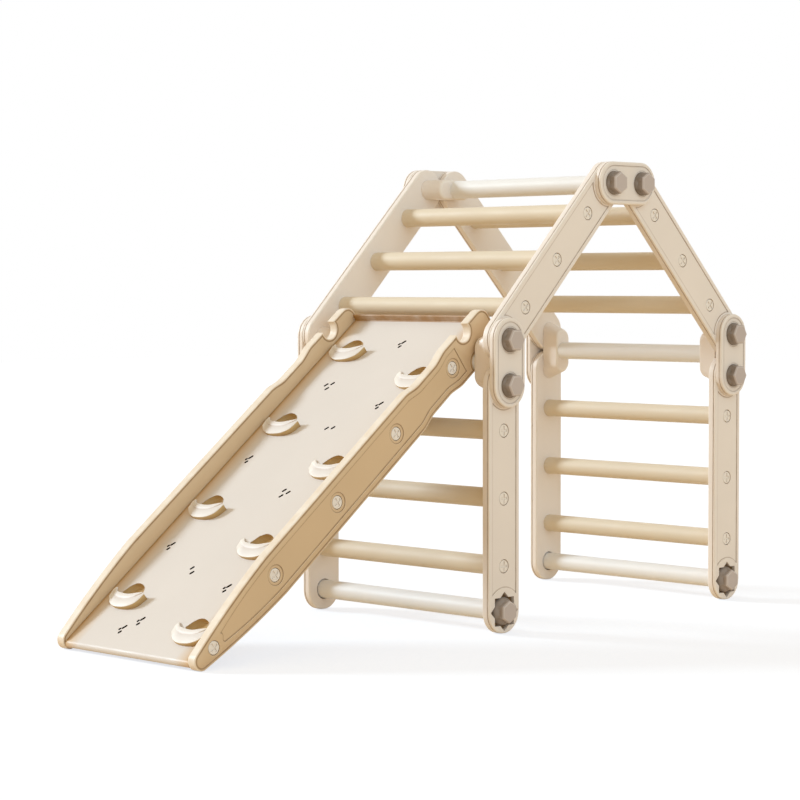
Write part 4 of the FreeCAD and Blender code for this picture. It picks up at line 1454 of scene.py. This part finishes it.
def make_world():
    """Even warm daylight, which the camera and reflections see as white."""
    world = bpy.data.worlds.new("studio")
    world.use_nodes = True
    tree = world.node_tree
    tree.nodes.clear()
    light = tree.nodes.new("ShaderNodeBackground")
    light.inputs["Color"].default_value = (*DAYLIGHT, 1.0)
    light.inputs["Strength"].default_value = DAYLIGHT_STRENGTH
    white = tree.nodes.new("ShaderNodeBackground")
    white.inputs["Strength"].default_value = 1.0
    white.inputs["Color"].default_value = (1.0, 1.0, 1.0, 1.0)
    mix = tree.nodes.new("ShaderNodeMixShader")
    output = tree.nodes.new("ShaderNodeOutputWorld")
    tree.links.new(seen_rays(tree), mix.inputs["Fac"])
    tree.links.new(light.outputs["Background"], mix.inputs[1])
    tree.links.new(white.outputs["Background"], mix.inputs[2])
    tree.links.new(mix.outputs["Shader"], output.inputs["Surface"])
    bpy.context.scene.world = world


def make_lamp(name, direction, energy, softness, colour):
    """Sun lamp that shines from a direction, as wide as its softness in degrees."""
    data = bpy.data.lights.new(name, "SUN")
    data.energy = energy
    data.angle = math.radians(softness)
    data.color = colour
    lamp = bpy.data.objects.new(name, data)
    lamp.rotation_euler = Vector(direction).to_track_quat("Z", "Y").to_euler()
    bpy.context.scene.collection.objects.link(lamp)


def make_floor(colours):
    """Wide floor. The camera sees it white with a faint shadow of the frame, and the pieces get a warm bounce
    from it."""
    material, tree, shader = node_tree("studio_floor")
    place = tree.nodes.new("ShaderNodeTexCoord").outputs["Object"]
    cloud = noise(tree, place, *FLOOR_CLOUDS)
    uneven = blended(tree, cloud, tinted(colours.floor, FLOOR_TINT), colours.floor)
    tree.links.new(uneven, shader.inputs["Base Color"])
    shader.inputs["Roughness"].default_value = FLOOR_ROUGHNESS
    shader.inputs["Specular IOR Level"].default_value = 0.0
    glow = tree.nodes.new("ShaderNodeEmission")
    glow.inputs["Color"].default_value = (*FLOOR_GLOW, 1.0)
    glow.inputs["Strength"].default_value = 1.0
    pale = tree.nodes.new("ShaderNodeAddShader")
    tree.links.new(shader.outputs["BSDF"], pale.inputs[0])
    tree.links.new(glow.outputs["Emission"], pale.inputs[1])
    bounce = tree.nodes.new("ShaderNodeBsdfDiffuse")
    bounce.inputs["Color"].default_value = (*colours.bounce, 1.0)
    both = tree.nodes.new("ShaderNodeMixShader")
    tree.links.new(seen_rays(tree), both.inputs["Fac"])
    tree.links.new(bounce.outputs["BSDF"], both.inputs[1])
    tree.links.new(pale.outputs["Shader"], both.inputs[2])
    output = next(node for node in tree.nodes if node.bl_idname == "ShaderNodeOutputMaterial")
    tree.links.new(both.outputs["Shader"], output.inputs["Surface"])
    mesh = bpy.data.meshes.new("studio_floor")
    turns = ((-1, -1), (1, -1), (1, 1), (-1, 1))
    corners = [(x * FLOOR_REACH, y * FLOOR_REACH, FLOOR_HEIGHT) for x, y in turns]
    mesh.from_pydata(corners, [], [(0, 1, 2, 3)])
    mesh.materials.append(material)
    floor = bpy.data.objects.new("studio_floor", mesh)
    bpy.context.scene.collection.objects.link(floor)


class MakeStage(bpy.types.Operator):
    """Make the floor, the light and the camera"""
    bl_idname = "climbing.make_stage"
    bl_label = "Stage"

    def execute(self, context):
        context.scene.view_settings.view_transform = "Standard"
        make_floor(context.scene.climbing_colours)
        make_world()
        make_lamp("key_light", KEY_FROM, *KEY_LIGHT)
        make_lamp("fill_light", FILL_FROM, *FILL_LIGHT)
        make_camera()
        return {"FINISHED"}


GROUPS = {
    "climbing_rails": ClimbingFrameRails,
    "climbing_joints": ClimbingFrameJoints,
    "climbing_ramp": ClimbingFrameRamp,
    "climbing_holds": ClimbingFrameHolds,
    "climbing_colours": ClimbingFrameColours,
}
OPERATORS = (
    MakeRails, MakeRungs, MakeRods, MakePlates, MakeHubs, MakeBolts, MakeRungScrews,
    MakeRampSides, MakeRampScrews, MakeBoard, MakeStage,
)


class ClimbingFramePanel(bpy.types.Panel):
    """Sizes, colours and pieces of the climbing frame"""
    bl_idname = "VIEW3D_PT_climbing_frame"
    bl_label = "Climbing frame"
    bl_space_type = "VIEW_3D"
    bl_region_type = "UI"
    bl_category = "Climbing frame"

    def draw(self, context):
        for name, group in GROUPS.items():
            column = self.layout.column(align=True)
            for size in group.__annotations__:
                column.prop(getattr(context.scene, name), size)
        for operator in OPERATORS:
            self.layout.operator(operator.bl_idname)


def register():
    for name, group in GROUPS.items():
        bpy.utils.register_class(group)
        setattr(bpy.types.Scene, name, PointerProperty(type=group))
    for operator in OPERATORS:
        bpy.utils.register_class(operator)
    bpy.utils.register_class(ClimbingFramePanel)


def unregister():
    bpy.utils.unregister_class(ClimbingFramePanel)
    for operator in reversed(OPERATORS):
        bpy.utils.unregister_class(operator)
    for name, group in reversed(GROUPS.items()):
        delattr(bpy.types.Scene, name)
        bpy.utils.unregister_class(group)


def main():
    """Makes every piece in order, then the stage."""
    register()
    bpy.ops.climbing.make_rails()
    bpy.ops.climbing.make_rungs()
    bpy.ops.climbing.make_rods()
    bpy.ops.climbing.make_plates()
    bpy.ops.climbing.make_hubs()
    bpy.ops.climbing.make_bolts()
    bpy.ops.climbing.make_rung_screws()
    bpy.ops.climbing.make_ramp_sides()
    bpy.ops.climbing.make_ramp_screws()
    bpy.ops.climbing.make_board()
    bpy.ops.climbing.make_stage()


if __name__ == "__main__":
    main()
